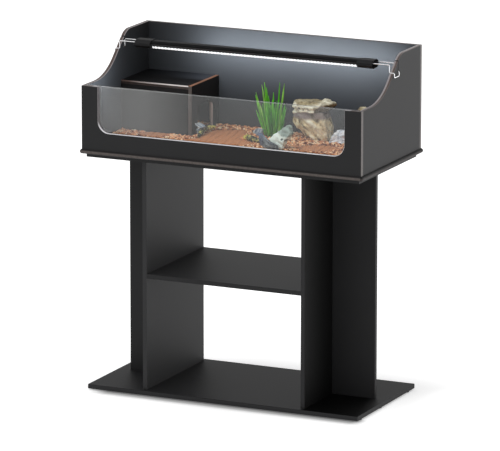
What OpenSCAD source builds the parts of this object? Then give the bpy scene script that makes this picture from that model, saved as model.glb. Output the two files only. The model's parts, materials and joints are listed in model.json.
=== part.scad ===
// Open-topped reptile terrarium on a two-legged stand, with a hide box, a lamp on wire
// brackets and loose decor. Millimetres, +Z up. The origin is on the floor, under the
// middle of the tray; the window side faces -Y.

/* [Tray] */
// Width over the side panels
tray_w = 1000; // [800:1:1300]
// Depth over the front and back panels
tray_d = 486; // [400:1:620]
// Height of the front panel
tray_front_h = 212; // [180:1:260]
// Height of the back panel
tray_back_h = 346; // [300:1:420]
// Thickness of the side, back and hide box boards
side_board = 12; // [9:0.5:16]
// Thickness of the front panel
front_board = 15; // [12:0.5:19]
// Thickness of the tray floor
floor_board = 12; // [9:0.5:18]
// Thickness of the brown edge band
band = 0.8; // [0.4:0.1:1.5]

/* [Side curve] */
// Flat length of the side panel's low end, from the tray's front face
curve_start = 87; // [60:1:110]
// Distance from the tray's front face to where the high flat begins
curve_end = 341; // [325:1:370]
// Radius of the hollow lower bend
low_bend_r = 207; // [150:1:220]
// Radius of the round upper bend
high_bend_r = 72; // [50:1:90]

/* [Window] */
// Width of the post left at each end of the window
window_post = 59; // [45:1:80]
// Height of the sill under the window
window_sill = 59; // [45:1:75]
// Radius of the window's lower corners
window_r = 40; // [20:1:60]
// Thickness of the glass pane
glass_t = 4; // [3:0.5:6]
// Thickness of the glazing tape behind the front panel
tape_t = 1; // [0.5:0.1:2]
// Width of the glazing tape
tape_w = 9; // [6:1:14]

/* [Stand] */
// Width of the base board
base_w = 976; // [800:1:1300]
// Depth of the base board
base_d = 466; // [380:1:620]
// Thickness of the stand boards
stand_board = 15; // [14:0.5:19]
// Height of the legs
leg_h = 770; // [600:1:900]
// Clear width between the two legs
leg_gap = 556; // [440:1:700]
// Depth of the leg panels
leg_d = 433; // [360:1:520]
// Width of each leg wing
wing_w = 153; // [120:1:190]
// Height of the shelf's top above the base board
shelf_rise = 392; // [250:1:550]
// Thickness of the top sub board
sub_board = 12; // [9:0.5:16]
// How far the sub board stays inside the tray's outline
sub_inset = 11.5; // [6:0.5:20]
// Thickness of the half-round moulding board
moulding_t = 15; // [12:0.5:19]
// How far the moulding board stands out past the tray
moulding_lip = 7; // [4:0.5:10]

/* [Feet] */
// Diameter of a glide foot
glide_d = 25; // [18:1:32]
// Height of a glide foot
glide_h = 5; // [4:0.5:8]
// Distance of the glides from the base board's ends
glide_inset = 15; // [14:1:40]

/* [Fittings] */
// Diameter of a wooden dowel in the stand
dowel_d = 8; // [6:1:8]
// Length of a wooden dowel in the stand
dowel_l = 24; // [20:1:30]
// Diameter of a wooden dowel in the tray
pin_d = 6; // [5:0.5:6]
// Length of a wooden dowel in the tray
pin_l = 20; // [16:1:22]
// Shank diameter of a connecting screw
screw_d = 5; // [4:0.5:6]
// Length of a connecting screw below its head
screw_l = 50; // [40:1:60]
// Diameter of a cam disc
cam_d = 15; // [12:1:16]
// Thickness of a cam disc
cam_t = 12; // [11:0.5:12.5]

/* [Hide box] */
// Clear width between the side panel and the divider
hide_w = 248; // [200:1:300]
// Depth from the back panel to the hide box's front face
hide_d = 209; // [170:1:220]
// Height of the hide box above the tray floor
hide_h = 172; // [150:1:185]
// Width of the doorway
door_w = 114; // [90:1:130]
// Height of the doorway
door_h = 101; // [85:1:125]
// Radius of the doorway's upper corners
door_r = 28; // [15:1:40]
// Width of the battens that carry the lid
batten = 12; // [8:1:16]

/* [Lamp] */
// Distance of the lamp's centre line from the tray's front face
lamp_from_front = 272.5; // [262:0.5:282]
// Gap between each side panel and the end of the lamp
lamp_end_gap = 60; // [50:1:90]
// Length of an end cap
cap_l = 56; // [50:1:70]
// Width of an end cap
cap_w = 56; // [54:1:64]
// Height of an end cap
cap_h = 27.4; // [27:0.1:32]
// Wall of an end cap
cap_wall = 2; // [1.5:0.1:2.2]
// Wall of the lamp housing
housing_wall = 1.6; // [1.2:0.1:2]
// Diameter of the round diffuser
diffuser_d = 12; // [11.5:0.1:13]
// Spacing of the light chips
chip_pitch = 12; // [10:0.5:24]

/* [Wire brackets] */
// Diameter of the bracket wire
wire_d = 3; // [2.5:0.1:3.4]
// Distance between a bracket's two wires
wire_gap = 38; // [34:1:40]
// Height from the wire's seat on the side panel up to its bore in the lamp
wire_rise = 26; // [22:0.1:30]
// Height of the wire bores above the lamp's axis
wire_above = 4.4; // [3:0.1:5]
// How far the wire hangs down outside the side panel
wire_hang = 15; // [10:0.5:20]
// Bend radius of the wire's centre line
wire_bend = 4; // [3:0.5:5]
// Play on each side of the wire in its slot
slot_play = 0.4; // [0.3:0.05:0.5]

/* [Decor] */
// Depth of the bedding over the tray floor
bedding_depth = 7; // [6:1:12]
// Height of the grass
grass_h = 180; // [140:1:190]
// Height of the cave rock above the bedding
cave_h = 136; // [110:1:150]

/* [Hidden] */
seat = 0.3;        // gap under a piece that lifts off
fit = 0.1;         // radial gap round a dowel, screw or cam
lid_play = 0.6;    // gap round the lid and the glass
smooth = 96;       // facets asked for on large rounds
small = 48;        // facets asked for on small rounds

// Levels, from the floor up
base_z = glide_h;
base_top = base_z + stand_board;
leg_top = base_top + leg_h;
sub_top = leg_top + sub_board;
tray_z = sub_top + moulding_t;
floor_top = tray_z + floor_board;
front_top = tray_z + tray_front_h;
back_top = tray_z + tray_back_h;
shelf_top = base_top + shelf_rise;

// Tray planes
front_y = -tray_d / 2;
front_in_y = front_y + front_board;
back_y = tray_d / 2;
back_in_y = back_y - side_board;
side_x = tray_w / 2;
side_in_x = side_x - side_board;
glass_y = front_in_y + tape_t;
bed_front_y = glass_y + glass_t;

// Stand planes
leg_in_x = leg_gap / 2;
leg_out_x = leg_in_x + stand_board;
wing_out_x = leg_out_x + wing_w;
wing_y = 0;        // the wings' front face is on the middle line

// Hide box planes
hide_front_y = back_in_y - hide_d;
divider_x = -side_in_x + hide_w;
divider_out_x = divider_x + side_board;
hide_top = floor_top + hide_h;
lid_under = hide_top - side_board;
door_y = (hide_front_y + back_in_y) / 2;

// Side curve: two bends joined by the straight that touches both
bend_run = curve_end - curve_start;
bend_rise = tray_back_h - tray_front_h;
bend_sum = low_bend_r + high_bend_r;
bend_straight = sqrt(pow(bend_run, 2) + pow(bend_rise - bend_sum, 2) - pow(bend_sum, 2));
bend_angle = atan2(bend_rise - bend_sum, bend_run) + atan2(bend_sum, bend_straight);

// Height of the side curve at depth y, on its straight stretch
function slope_z(y) = front_top + low_bend_r * (1 - cos(bend_angle))
    + (y - front_y - curve_start - low_bend_r * sin(bend_angle)) * tan(bend_angle);

// Lamp and wire levels
lamp_y = front_y + lamp_from_front;
wire_front_y = lamp_y - wire_gap / 2;
wire_back_y = lamp_y + wire_gap / 2;
wire_r = wire_d / 2;
wire_seat_z = slope_z(wire_front_y) + wire_r / 2;
wire_z = wire_seat_z + wire_rise;
lamp_z = wire_z - wire_above;
cap_out_x = side_in_x - lamp_end_gap;
cap_in_x = cap_out_x - cap_l;
wire_in_x = cap_in_x + 11;
block_l = 32;
block_x = cap_in_x + 10;
drop_x = side_in_x - wire_r - 0.5;
hang_x = side_x + wire_r + 2;

// Height of the bedding at a point: heaps and dips, with a level pad under each thing
// that stands on it. A pad is [x, y, level radius].
PADS = [[24, 114, 42], [205, 142, 48], [95, -50, 66], [258, 134, 44],
        [392, 62, 62], [-208, 57, 24], [-30, 112, 28]];
function heap(x, y, at, reach) = 1 - ease(norm([x - at[0], y - at[1]]) / reach);
function swell(x, y) = bedding_depth + 10 * ease((-100 - y) / 120)
    - 2 * heap(x, y, [-270, 0], 110) + 3 * heap(x, y, [400, -130], 160)
    + sin(2 * x) * cos(2.6 * y);
function ease(t) = t <= 0 ? 0 : t >= 1 ? 1 : t * t * (3 - 2 * t);
function pad_part(x, y, i) = 1 - ease((norm([x - PADS[i][0], y - PADS[i][1]]) - PADS[i][2]) / 45);
function padded(x, y, h, i) = i == len(PADS) ? h
    : padded(x, y, h + (bedding_depth - h) * pad_part(x, y, i), i + 1);
function bedding_z(x, y) = floor_top + padded(x, y, swell(x, y), 0);
stone_z = floor_top + bedding_depth + seat;

laminate = [0.17, 0.17, 0.18];
edge_brown = [0.33, 0.26, 0.23];
moulding_grey = [0.38, 0.35, 0.34];
fitting_metal = [0.7, 0.7, 0.72];
beech = [0.78, 0.64, 0.45];
lamp_black = [0.13, 0.13, 0.14];
soil_brown = [0.5, 0.33, 0.22];

// ---------- helpers ----------

module box(lo, hi) translate(lo) cube(hi - lo);

// A cylinder from a point along X, Y or Z
module rod(at, r, h, turn = [0, 0, 0]) translate(at) rotate(turn) cylinder(r = r, h = h, $fn = small);

function unit(v) = v / norm(v);
function left_of(v) = [-v[1], v[0]];

// The corners of a convex outline, moved inwards by t. The corners run anticlockwise.
function inset(points, t) = [for (i = [0 : len(points) - 1])
    let (a = points[(i + len(points) - 1) % len(points)], b = points[i],
         c = points[(i + 1) % len(points)],
         n1 = left_of(unit(b - a)), n2 = left_of(unit(c - b)))
    b + t * (n1 + n2) / (1 + n1 * n2)];

// An outline in Y and Z, run along X from x0 to x1
module along_x(x0, x1) translate([x0, 0, 0]) rotate([90, 0, 90]) linear_extrude(x1 - x0) children();

// An outline in X and Z, run along Y from y0 to y1
module along_y(y0, y1) translate([0, y1, 0]) rotate([90, 0, 0]) linear_extrude(y1 - y0) children();

// Countersunk screw pointing up from z = 0; grow widens it into its own hole
module screw_up(length, shank, grow = 0) {
    head = shank;
    cylinder(r = shank / 2 + grow, h = length, $fn = small);
    cylinder(r1 = head + grow, r2 = shank / 2 + grow, h = head / 2 + grow, $fn = small);
}

// ---------- stand ----------

FOOT_PLACES = [for (sx = [-1, 1]) for (y = [-base_d / 2 + 40, -base_d * 0.07, base_d / 2 - 40])
    [sx * (base_w / 2 - glide_inset), y]];
LEG_SCREWS = [for (sx = [-1, 1]) for (sy = [-1, 1]) [sx * (leg_in_x + stand_board / 2), sy * leg_d * 0.36]];
WING_SCREWS = [for (sx = [-1, 1]) for (k = [0.28, 0.8])
    [sx * (leg_out_x + wing_w * k), wing_y + stand_board / 2]];
STAND_SCREWS = concat(LEG_SCREWS, WING_SCREWS);
MOULDING_SCREWS = [for (sx = [-1, 1]) for (sy = [-1, 1]) for (k = [0.27, 0.84])
    [sx * k * tray_w / 2, sy * (tray_d / 2 - 50)]];
SHELF_CAM_Y = leg_d * 0.3;
SHELF_DOWEL_Y = leg_d * 0.2;
shelf_mid = shelf_top - stand_board / 2;
cam_back = 24;     // from the shelf's end to the cam's centre
bolt_in = 11;      // depth of a cam bolt in the leg panel
glide_screw_l = 14;
glide_screw_d = 3.5;
moulding_screw_d = 4;

module base_screw_set(grow = 0)
    for (p = STAND_SCREWS) translate([p[0], p[1], base_z]) screw_up(screw_l, screw_d, grow);

module top_screw_set(grow = 0)
    for (p = STAND_SCREWS) translate([p[0], p[1], sub_top]) mirror([0, 0, 1])
        screw_up(screw_l, screw_d, grow);

module moulding_screw_set(grow = 0)
    for (p = MOULDING_SCREWS) translate([p[0], p[1], leg_top])
        screw_up(sub_board + moulding_t - 4, moulding_screw_d, grow);

module glide_screw_set(grow = 0)
    for (p = FOOT_PLACES) translate([p[0], p[1], glide_h - glide_screw_d])
        screw_up(glide_screw_l, glide_screw_d, grow);

module wing_dowel_set(grow = 0)
    for (sx = [-1, 1]) for (k = [0.2, 0.5, 0.8])
        rod([sx * leg_out_x - dowel_l / 2 - grow, wing_y + stand_board / 2, base_top + leg_h * k],
            dowel_d / 2 + grow, dowel_l + 2 * grow, [0, 90, 0]);

module shelf_dowel_set(grow = 0)
    for (sx = [-1, 1]) for (sy = [-1, 1])
        rod([sx * leg_in_x - dowel_l / 2 - grow, sy * SHELF_DOWEL_Y, shelf_mid],
            dowel_d / 2 + grow, dowel_l + 2 * grow, [0, 90, 0]);

// One cam bolt: threaded end in the leg panel, neck and round head inside the cam
module cam_bolt(grow = 0) {
    bolt_r = 3;
    neck_r = 2;
    head_l = 3;
    rod([-bolt_in - grow, 0, 0], bolt_r + grow, bolt_in + grow, [0, 90, 0]);
    rod([0, 0, 0], neck_r + grow, cam_back, [0, 90, 0]);
    rod([cam_back - head_l - grow, 0, 0], bolt_r + grow, head_l + 2 * grow, [0, 90, 0]);
}

module cam_bolt_set(grow = 0)
    for (sx = [-1, 1]) for (sy = [-1, 1])
        translate([sx * leg_in_x, sy * SHELF_CAM_Y, shelf_mid]) mirror([sx > 0 ? 1 : 0, 0, 0])
            cam_bolt(grow);

module cam_set(grow = 0)
    for (sx = [-1, 1]) for (sy = [-1, 1])
        rod([sx * (leg_in_x - cam_back), sy * SHELF_CAM_Y, shelf_top - stand_board],
            cam_d / 2 + grow, cam_t + grow);

module base_board() color(laminate) difference() {
    box([-base_w / 2, -base_d / 2, base_z], [base_w / 2, base_d / 2, base_top]);
    base_screw_set(fit);
    glide_screw_set(fit);
}

// Six plastic glides, each held by its own screw
module base_glides() color([0.1, 0.1, 0.1]) difference() {
    for (p = FOOT_PLACES) translate([p[0], p[1], 0])
        cylinder(r1 = glide_d / 2 - 1, r2 = glide_d / 2, h = glide_h, $fn = small);
    glide_screw_set(fit);
    for (p = FOOT_PLACES) rod([p[0], p[1], -1], glide_screw_d + fit, glide_h - glide_screw_d + 1 + fit);
}

module base_screws() color(fitting_metal) {
    base_screw_set();
    glide_screw_set();
}

module leg_panel(sx) color(laminate) difference() {
    box([min(sx * leg_in_x, sx * leg_out_x), -leg_d / 2, base_top],
        [max(sx * leg_in_x, sx * leg_out_x), leg_d / 2, leg_top]);
    base_screw_set(fit);
    top_screw_set(fit);
    wing_dowel_set(fit);
    shelf_dowel_set(fit);
    cam_bolt_set(fit);
}
module left_leg_panel() leg_panel(-1);
module right_leg_panel() leg_panel(1);

module leg_wing(sx) color(laminate) difference() {
    box([min(sx * leg_out_x, sx * wing_out_x), wing_y, base_top],
        [max(sx * leg_out_x, sx * wing_out_x), wing_y + stand_board, leg_top]);
    base_screw_set(fit);
    top_screw_set(fit);
    wing_dowel_set(fit);
}
module left_leg_wing() leg_wing(-1);
module right_leg_wing() leg_wing(1);

module wing_dowels() color(beech) wing_dowel_set();

module middle_shelf() color(laminate) difference() {
    box([-leg_in_x, -leg_d / 2, shelf_top - stand_board], [leg_in_x, leg_d / 2, shelf_top]);
    shelf_dowel_set(fit);
    cam_bolt_set(fit);
    cam_set(fit);
}

module shelf_dowels() color(beech) shelf_dowel_set();

module shelf_cams() color(fitting_metal) difference() {
    cam_set();
    cam_bolt_set(fit);
}

module shelf_cam_bolts() color(fitting_metal) cam_bolt_set();

module sub_top_board() color(laminate) difference() {
    box([-side_x + sub_inset, front_y + sub_inset, leg_top],
        [side_x - sub_inset, back_y - sub_inset, sub_top]);
    top_screw_set(fit);
    moulding_screw_set(fit);
}

module top_screws() color(fitting_metal) top_screw_set();

// Board with a half-round nose all the way round
module moulding_board() color(moulding_grey) difference() {
    nose = moulding_t / 2;
    x = side_x + moulding_lip - nose;
    y = -front_y + moulding_lip - nose;
    union() {
        box([-x, -y, sub_top], [x, y, tray_z]);
        for (sy = [-1, 1]) rod([-x, sy * y, sub_top + nose], nose, 2 * x, [0, 90, 0]);
        for (sx = [-1, 1]) rod([sx * x, -y, sub_top + nose], nose, 2 * y, [-90, 0, 0]);
        for (sx = [-1, 1]) for (sy = [-1, 1])
            translate([sx * x, sy * y, sub_top + nose]) sphere(r = nose, $fn = small);
    }
    moulding_screw_set(fit);
}

module moulding_screws() color(fitting_metal) moulding_screw_set();

// ---------- tray ----------

dowel_stop = 4;    // board left beyond a dowel's blind end

// A tray dowel from a point, along X or Y
module dowel(at, dir, grow) {
    turn = dir == "x" ? [0, 90, 0] : [-90, 0, 0];
    step = dir == "x" ? [1, 0, 0] : [0, 1, 0];
    rod(at - step * grow, pin_d / 2 + grow, pin_l + 2 * grow, turn);
}

module tray_dowel_set(grow = 0) {
    mid = tray_z + floor_board / 2;
    shallow = side_board - dowel_stop;
    for (k = [-0.35, 0, 0.35]) {
        dowel([-side_x + side_board - shallow, k * tray_d, mid], "x", grow);
        dowel([side_x - side_board + shallow - pin_l, k * tray_d, mid], "x", grow);
    }
    for (k = [-0.38, -0.13, 0.13, 0.38]) {
        dowel([k * tray_w, front_in_y - shallow, mid], "y", grow);
        dowel([k * tray_w, back_in_y + shallow - pin_l, mid], "y", grow);
    }
    for (sx = [-1, 1]) {
        for (k = [0.3, 0.75])
            dowel([sx * (side_x - side_board / 2), front_in_y - shallow, tray_z + tray_front_h * k],
                  "y", grow);
        for (k = [0.25, 0.55, 0.85])
            dowel([sx * (side_x - side_board / 2), back_in_y + shallow - pin_l, tray_z + tray_back_h * k],
                  "y", grow);
    }
}

module floor_panel() color(laminate) difference() {
    box([-side_in_x, front_in_y, tray_z], [side_in_x, back_in_y, floor_top]);
    tray_dowel_set(fit);
}

// The window's outline in X and Z, open at the top, widened by grow
module window_outline(grow) {
    x = side_x - window_post + grow;
    z = tray_z + window_sill - grow;
    r = window_r + grow;
    translate([-x, z + r]) square([2 * x, tray_front_h]);
    translate([-x + r, z]) square([2 * (x - r), 2 * r]);
    for (sx = [-1, 1]) translate([sx * (x - r), z + r]) circle(r = r, $fn = smooth);
}

// The front panel's outline in X and Z, drawn in by t on its ends, top and window
module front_outline(t) difference() {
    translate([-side_x + t, tray_z]) square([tray_w - 2 * t, tray_front_h - t]);
    window_outline(t);
}

module front_panel() color(laminate) difference() {
    along_y(front_y, front_in_y) front_outline(band);
    tray_dowel_set(fit);
}

module front_edging() color(edge_brown) along_y(front_y, front_in_y) difference() {
    front_outline(0);
    front_outline(band);
}

// The side panel's outline in Y and Z, with its top edge drawn down by t
module side_outline(t) {
    low_r = low_bend_r + t;
    high_r = high_bend_r - t;
    y1 = front_y + curve_start;
    y2 = front_y + curve_end;
    low_end = [y1 + low_r * sin(bend_angle), front_top - t + low_r * (1 - cos(bend_angle))];
    high_end = [y2 - high_r * sin(bend_angle), back_top - t - high_r * (1 - cos(bend_angle))];
    difference() {
        union() {
            polygon([[front_in_y, tray_z], [back_in_y, tray_z], [back_in_y, back_top - t],
                     [y2, back_top - t], high_end, low_end, [y1, front_top - t],
                     [front_in_y, front_top - t]]);
            translate([y2, back_top - high_bend_r]) circle(r = high_r, $fn = smooth);
        }
        translate([y1, front_top + low_bend_r]) circle(r = low_r, $fn = 2 * smooth);
    }
}

// The nick for the front wire and the deep slot for the back wire
module wire_slots() {
    half = wire_r + slot_play;
    bottom = wire_seat_z - wire_r - seat;
    for (y = [wire_front_y, wire_back_y])
        box([-side_x - 1, y - half, bottom], [side_x + 1, y + half, back_top + 1]);
}

module side_panel(sx) color(laminate) difference() {
    along_x(min(sx * side_x, sx * side_in_x), max(sx * side_x, sx * side_in_x)) side_outline(band);
    wire_slots();
    tray_dowel_set(fit);
}
module left_side_panel() side_panel(-1);
module right_side_panel() side_panel(1);

module side_edging(sx) color(edge_brown) difference() {
    along_x(min(sx * side_x, sx * side_in_x), max(sx * side_x, sx * side_in_x)) difference() {
        side_outline(0);
        side_outline(band);
    }
    wire_slots();
}
module left_side_edging() side_edging(-1);
module right_side_edging() side_edging(1);

module back_panel() color(laminate) difference() {
    box([-side_x + band, back_in_y, tray_z], [side_x - band, back_y, back_top - band]);
    tray_dowel_set(fit);
}

module back_edging() color(edge_brown) difference() {
    box([-side_x, back_in_y, tray_z], [side_x, back_y, back_top]);
    box([-side_x + band, back_in_y - 1, tray_z - 1], [side_x - band, back_y + 1, back_top - band]);
}

module glazing_tape() color([0.2, 0.2, 0.2]) along_y(front_in_y, glass_y) intersection() {
    difference() {
        window_outline(4 + tape_w);
        window_outline(4);
    }
    translate([-side_x, tray_z]) square([tray_w, tray_front_h]);
}

module front_glass() color([0.7, 0.85, 0.85, 0.35])
    box([-side_in_x + lid_play, glass_y, floor_top], [side_in_x - lid_play, glass_y + glass_t, front_top]);

// ---------- hide box ----------

module hide_front_panel() color(laminate)
    box([-side_in_x, hide_front_y, floor_top], [divider_x, hide_front_y + side_board, lid_under - seat]);

// The doorway's outline in Y and Z, widened by grow
module door_outline(grow) {
    half = door_w / 2 + grow;
    r = door_r + grow;
    top = floor_top + door_h + grow;
    translate([door_y - half, floor_top - 1]) square([2 * half, top - r - floor_top + 1]);
    translate([door_y - half + r, floor_top]) square([2 * (half - r), top - floor_top]);
    for (sy = [-1, 1]) translate([door_y + sy * (half - r), top - r]) circle(r = r, $fn = smooth);
}

module divider_outline(t) difference() {
    translate([hide_front_y + t, floor_top]) square([hide_d - t, hide_h - t]);
    door_outline(t);
}

module hide_divider() color(laminate) along_x(divider_x, divider_out_x) divider_outline(band);

module hide_edging() color([0.55, 0.36, 0.27]) along_x(divider_x, divider_out_x) difference() {
    divider_outline(0);
    divider_outline(band);
}

// Three battens under the lid, on the side panel, the divider and the back panel
module lid_battens() color(laminate) {
    lo = lid_under - seat - batten;
    hi = lid_under - seat;
    y0 = hide_front_y + side_board;
    box([-side_in_x, y0, lo], [-side_in_x + batten, back_in_y - batten, hi]);
    box([divider_x - batten, y0, lo], [divider_x, back_in_y - batten, hi]);
    box([-side_in_x, back_in_y - batten, lo], [divider_x, back_in_y, hi]);
}

module hide_lid() color(laminate)
    box([-side_in_x + lid_play, hide_front_y + band, lid_under],
        [divider_x - lid_play, back_in_y - lid_play, hide_top]);

module lid_edging() color(edge_brown)
    box([-side_in_x + lid_play, hide_front_y, lid_under],
        [divider_x - lid_play, hide_front_y + band, hide_top]);

// ---------- lamp ----------

// Outline of an end cap in Y and Z about the lamp's axis
cap_side = 4.2;    // half the height of the cap's upright sides
cap_flat = cap_w / 2 - 13;
CAP_POINTS = [[-cap_w / 2, -cap_side], [-cap_flat, -cap_h / 2], [cap_flat, -cap_h / 2],
              [cap_w / 2, -cap_side], [cap_w / 2, cap_side], [cap_flat, cap_h / 2],
              [-cap_flat, cap_h / 2], [-cap_w / 2, cap_side]];
housing_top = cap_h / 2 - cap_wall;
housing_under = -3.9;
HOUSING_POINTS = [[-13, housing_under], [13, housing_under], [19.5, 0], [19.5, 6.7],
                  [12.5, housing_top], [-12.5, housing_top], [-19.5, 6.7], [-19.5, 0]];
housing_end = cap_in_x + 5;
diffuser_wall = 1.2;
diffuser_z = housing_under - 5;
led_board_t = 1.2;
led_board_w = 5;
chip_size = 3.5;
chip_h = 1;
chip_margin = 8;   // from the last chip's centre to the cap

module lamp_frame() translate([0, lamp_y, lamp_z]) children();

module lamp_housing() color(lamp_black) lamp_frame() along_x(-housing_end, housing_end) difference() {
    polygon(HOUSING_POINTS);
    polygon(inset(HOUSING_POINTS, housing_wall));
}

// Driver in its case, on the housing's inner floor
module lamp_driver() color([0.3, 0.3, 0.32]) lamp_frame()
    box([-45, -9, housing_under + housing_wall], [45, 9, housing_under + housing_wall + 8]);

module end_cap(sx) color(lamp_black) lamp_frame() mirror([sx < 0 ? 1 : 0, 0, 0]) difference() {
    along_x(cap_in_x, cap_out_x) polygon(CAP_POINTS);
    along_x(cap_in_x + cap_wall, cap_out_x + 1) polygon(inset(CAP_POINTS, cap_wall));
    along_x(cap_in_x - 1, cap_in_x + cap_wall + 1) polygon(HOUSING_POINTS);
    cap_screw(fit);
    if (sx > 0) grommet_solid(fit, 0);
}
module left_end_cap() end_cap(-1);
module right_end_cap() end_cap(1);

cap_screw_l = 8;
cap_screw_d = 3;
module cap_screw(grow = 0) translate([block_x + block_l / 2, 0, -cap_h / 2])
    screw_up(cap_screw_l, cap_screw_d, grow);

module cap_screws() color(fitting_metal) lamp_frame() for (sx = [-1, 1])
    mirror([sx < 0 ? 1 : 0, 0, 0]) cap_screw();

// Block inside a cap, with a running bore for each wire
module wire_block(sx) color([0.2, 0.2, 0.2]) lamp_frame() mirror([sx < 0 ? 1 : 0, 0, 0]) difference() {
    along_x(block_x, block_x + block_l) polygon(inset(CAP_POINTS, cap_wall));
    for (sy = [-1, 1])
        rod([block_x - 1, sy * wire_gap / 2, wire_z - lamp_z], wire_r + fit, block_l + 2, [0, 90, 0]);
    cap_screw(fit);
}
module left_wire_block() wire_block(-1);
module right_wire_block() wire_block(1);

// Rubber grommet in the back of the right cap, where the lamp's cord would pass
grommet_x = block_x - 5;
grommet_bore = 2.2;
module grommet_solid(grow, bore) {
    y = cap_w / 2;
    difference() {
        union() {
            rod([grommet_x, y - cap_wall - 1, 0], 3.2 + grow, cap_wall + 1, [-90, 0, 0]);
            if (grow == 0) rod([grommet_x, y, 0], 4, 1.5, [-90, 0, 0]);
        }
        if (bore > 0) rod([grommet_x, y - cap_wall - 2, 0], bore, cap_wall + 5, [-90, 0, 0]);
    }
}
module cord_grommet() color([0.05, 0.05, 0.05]) lamp_frame() grommet_solid(0, grommet_bore);

// Outline of the light board, widened by grow and open to the housing above
module led_board_outline(grow) translate([-led_board_w / 2 - grow, housing_under - led_board_t - grow])
    square([led_board_w + 2 * grow, led_board_t + grow]);

module led_board() color([0.85, 0.85, 0.85]) lamp_frame() along_x(-cap_in_x, cap_in_x) led_board_outline(0);

module led_chips() color([1, 0.97, 0.85]) lamp_frame() {
    count = floor((cap_in_x - chip_margin) / chip_pitch);
    for (i = [-count : count])
        translate([i * chip_pitch, 0, housing_under - led_board_t - chip_h / 2])
            cube([chip_size, chip_size, chip_h], center = true);
}

// Round diffuser whose two lips hold the light board against the housing
module led_diffuser() color([0.97, 0.98, 1]) lamp_frame() along_x(-cap_in_x, cap_in_x) difference() {
    translate([0, diffuser_z]) circle(d = diffuser_d, $fn = small);
    translate([0, diffuser_z]) circle(r = diffuser_d / 2 - diffuser_wall, $fn = small);
    led_board_outline(fit);
    translate([-diffuser_d, housing_under]) square([2 * diffuser_d, diffuser_d]);
}

// ---------- wire brackets ----------

// A quarter bend: centre, the two directions from the centre to the bend's ends
module quarter_bend(centre, from, to) {
    normal = cross(from, to);
    multmatrix([[from[0], to[0], normal[0], centre[0]], [from[1], to[1], normal[1], centre[1]],
                [from[2], to[2], normal[2], centre[2]], [0, 0, 0, 1]])
        rotate_extrude(angle = 90, $fn = small) translate([wire_bend, 0]) circle(r = wire_r, $fn = 24);
}

// A straight stretch of wire between two points along one axis
module straight(a, b) {
    d = b - a;
    turn = abs(d[0]) > 0.001 ? [0, 90 * sign(d[0]), 0] : abs(d[1]) > 0.001 ? [-90 * sign(d[1]), 0, 0]
        : [d[2] > 0 ? 0 : 180, 0, 0];
    rod(a, wire_r, norm(d), turn);
}

// Corners of the bent wire on the +X side, from its seat at the side panel's outer face.
// Every stretch runs along one axis, and the back half mirrors the front half.
WIRE_HALF = [[wire_in_x - side_x, -wire_gap / 2, wire_rise], [drop_x - side_x, -wire_gap / 2, wire_rise],
             [drop_x - side_x, -wire_gap / 2, 0], [hang_x - side_x, -wire_gap / 2, 0],
             [hang_x - side_x, -wire_gap / 2, -wire_hang]];
WIRE = concat(WIRE_HALF, [for (i = [len(WIRE_HALF) - 1 : -1 : 0])
    [WIRE_HALF[i][0], -WIRE_HALF[i][1], WIRE_HALF[i][2]]]);

module bracket(sx) color([0.82, 0.83, 0.85]) mirror([sx < 0 ? 1 : 0, 0, 0])
    translate([side_x, lamp_y, wire_seat_z]) {
    last = len(WIRE) - 1;
    for (i = [0 : last - 1]) {
        step = unit(WIRE[i + 1] - WIRE[i]);
        a = WIRE[i] + (i == 0 ? 0 : wire_bend) * step;
        b = WIRE[i + 1] - (i == last - 1 ? 0 : wire_bend) * step;
        straight(a, b);
    }
    for (i = [1 : last - 1]) {
        before = unit(WIRE[i] - WIRE[i - 1]);
        after = unit(WIRE[i + 1] - WIRE[i]);
        quarter_bend(WIRE[i] + wire_bend * (after - before), -after, before);
    }
}
module left_bracket() bracket(-1);
module right_bracket() bracket(1);

// ---------- bedding and decor ----------

bed_step = 25;     // largest cell of the bedding's surface

// Grid lines from a to b and on to c, with one line on b
function grid_lines(a, b, c) = let (m = ceil((b - a) / bed_step), n = ceil((c - b) / bed_step))
    concat([for (i = [0 : m]) a + (b - a) * i / m], [for (i = [1 : n]) b + (c - b) * i / n]);

BED_X = grid_lines(-side_in_x, divider_out_x, side_in_x);
BED_Y = grid_lines(bed_front_y, hide_front_y, back_in_y);

// Is there a bedding cell at column i and row j? The hide box's corner has none.
function bed_cell(i, j) = i >= 0 && j >= 0 && i < len(BED_X) - 1 && j < len(BED_Y) - 1
    && (BED_X[i] > divider_out_x - 1 || BED_Y[j] < hide_front_y - 1);

// One L-shaped block with a gently rolling top
module bedding() color(soil_brown) {
    row = len(BED_X);
    top = [for (y = BED_Y) for (x = BED_X) [x, y, bedding_z(x, y)]];
    n = len(top);
    CELLS = [for (j = [0 : len(BED_Y) - 2]) for (i = [0 : row - 2]) if (bed_cell(i, j)) [i, j]];
    polyhedron(concat(top, [for (p = top) [p[0], p[1], floor_top]]),
        [for (c = CELLS) let (i = c[0], j = c[1], a = j * row + i, b = a + 1, d = a + row, e = d + 1)
            each concat([[a, d, e], [a, e, b], [n + a, n + e, n + d], [n + a, n + b, n + e]],
                bed_cell(i, j - 1) ? [] : [[a, b, n + b, n + a]],
                bed_cell(i, j + 1) ? [] : [[e, d, n + d, n + e]],
                bed_cell(i - 1, j) ? [] : [[d, a, n + a, n + d]],
                bed_cell(i + 1, j) ? [] : [[b, e, n + e, n + b]])]);
}

module hide_bedding() color(soil_brown)
    box([-side_in_x, hide_front_y + side_board, floor_top],
        [divider_x, back_in_y, floor_top + bedding_depth + 4]);

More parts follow.
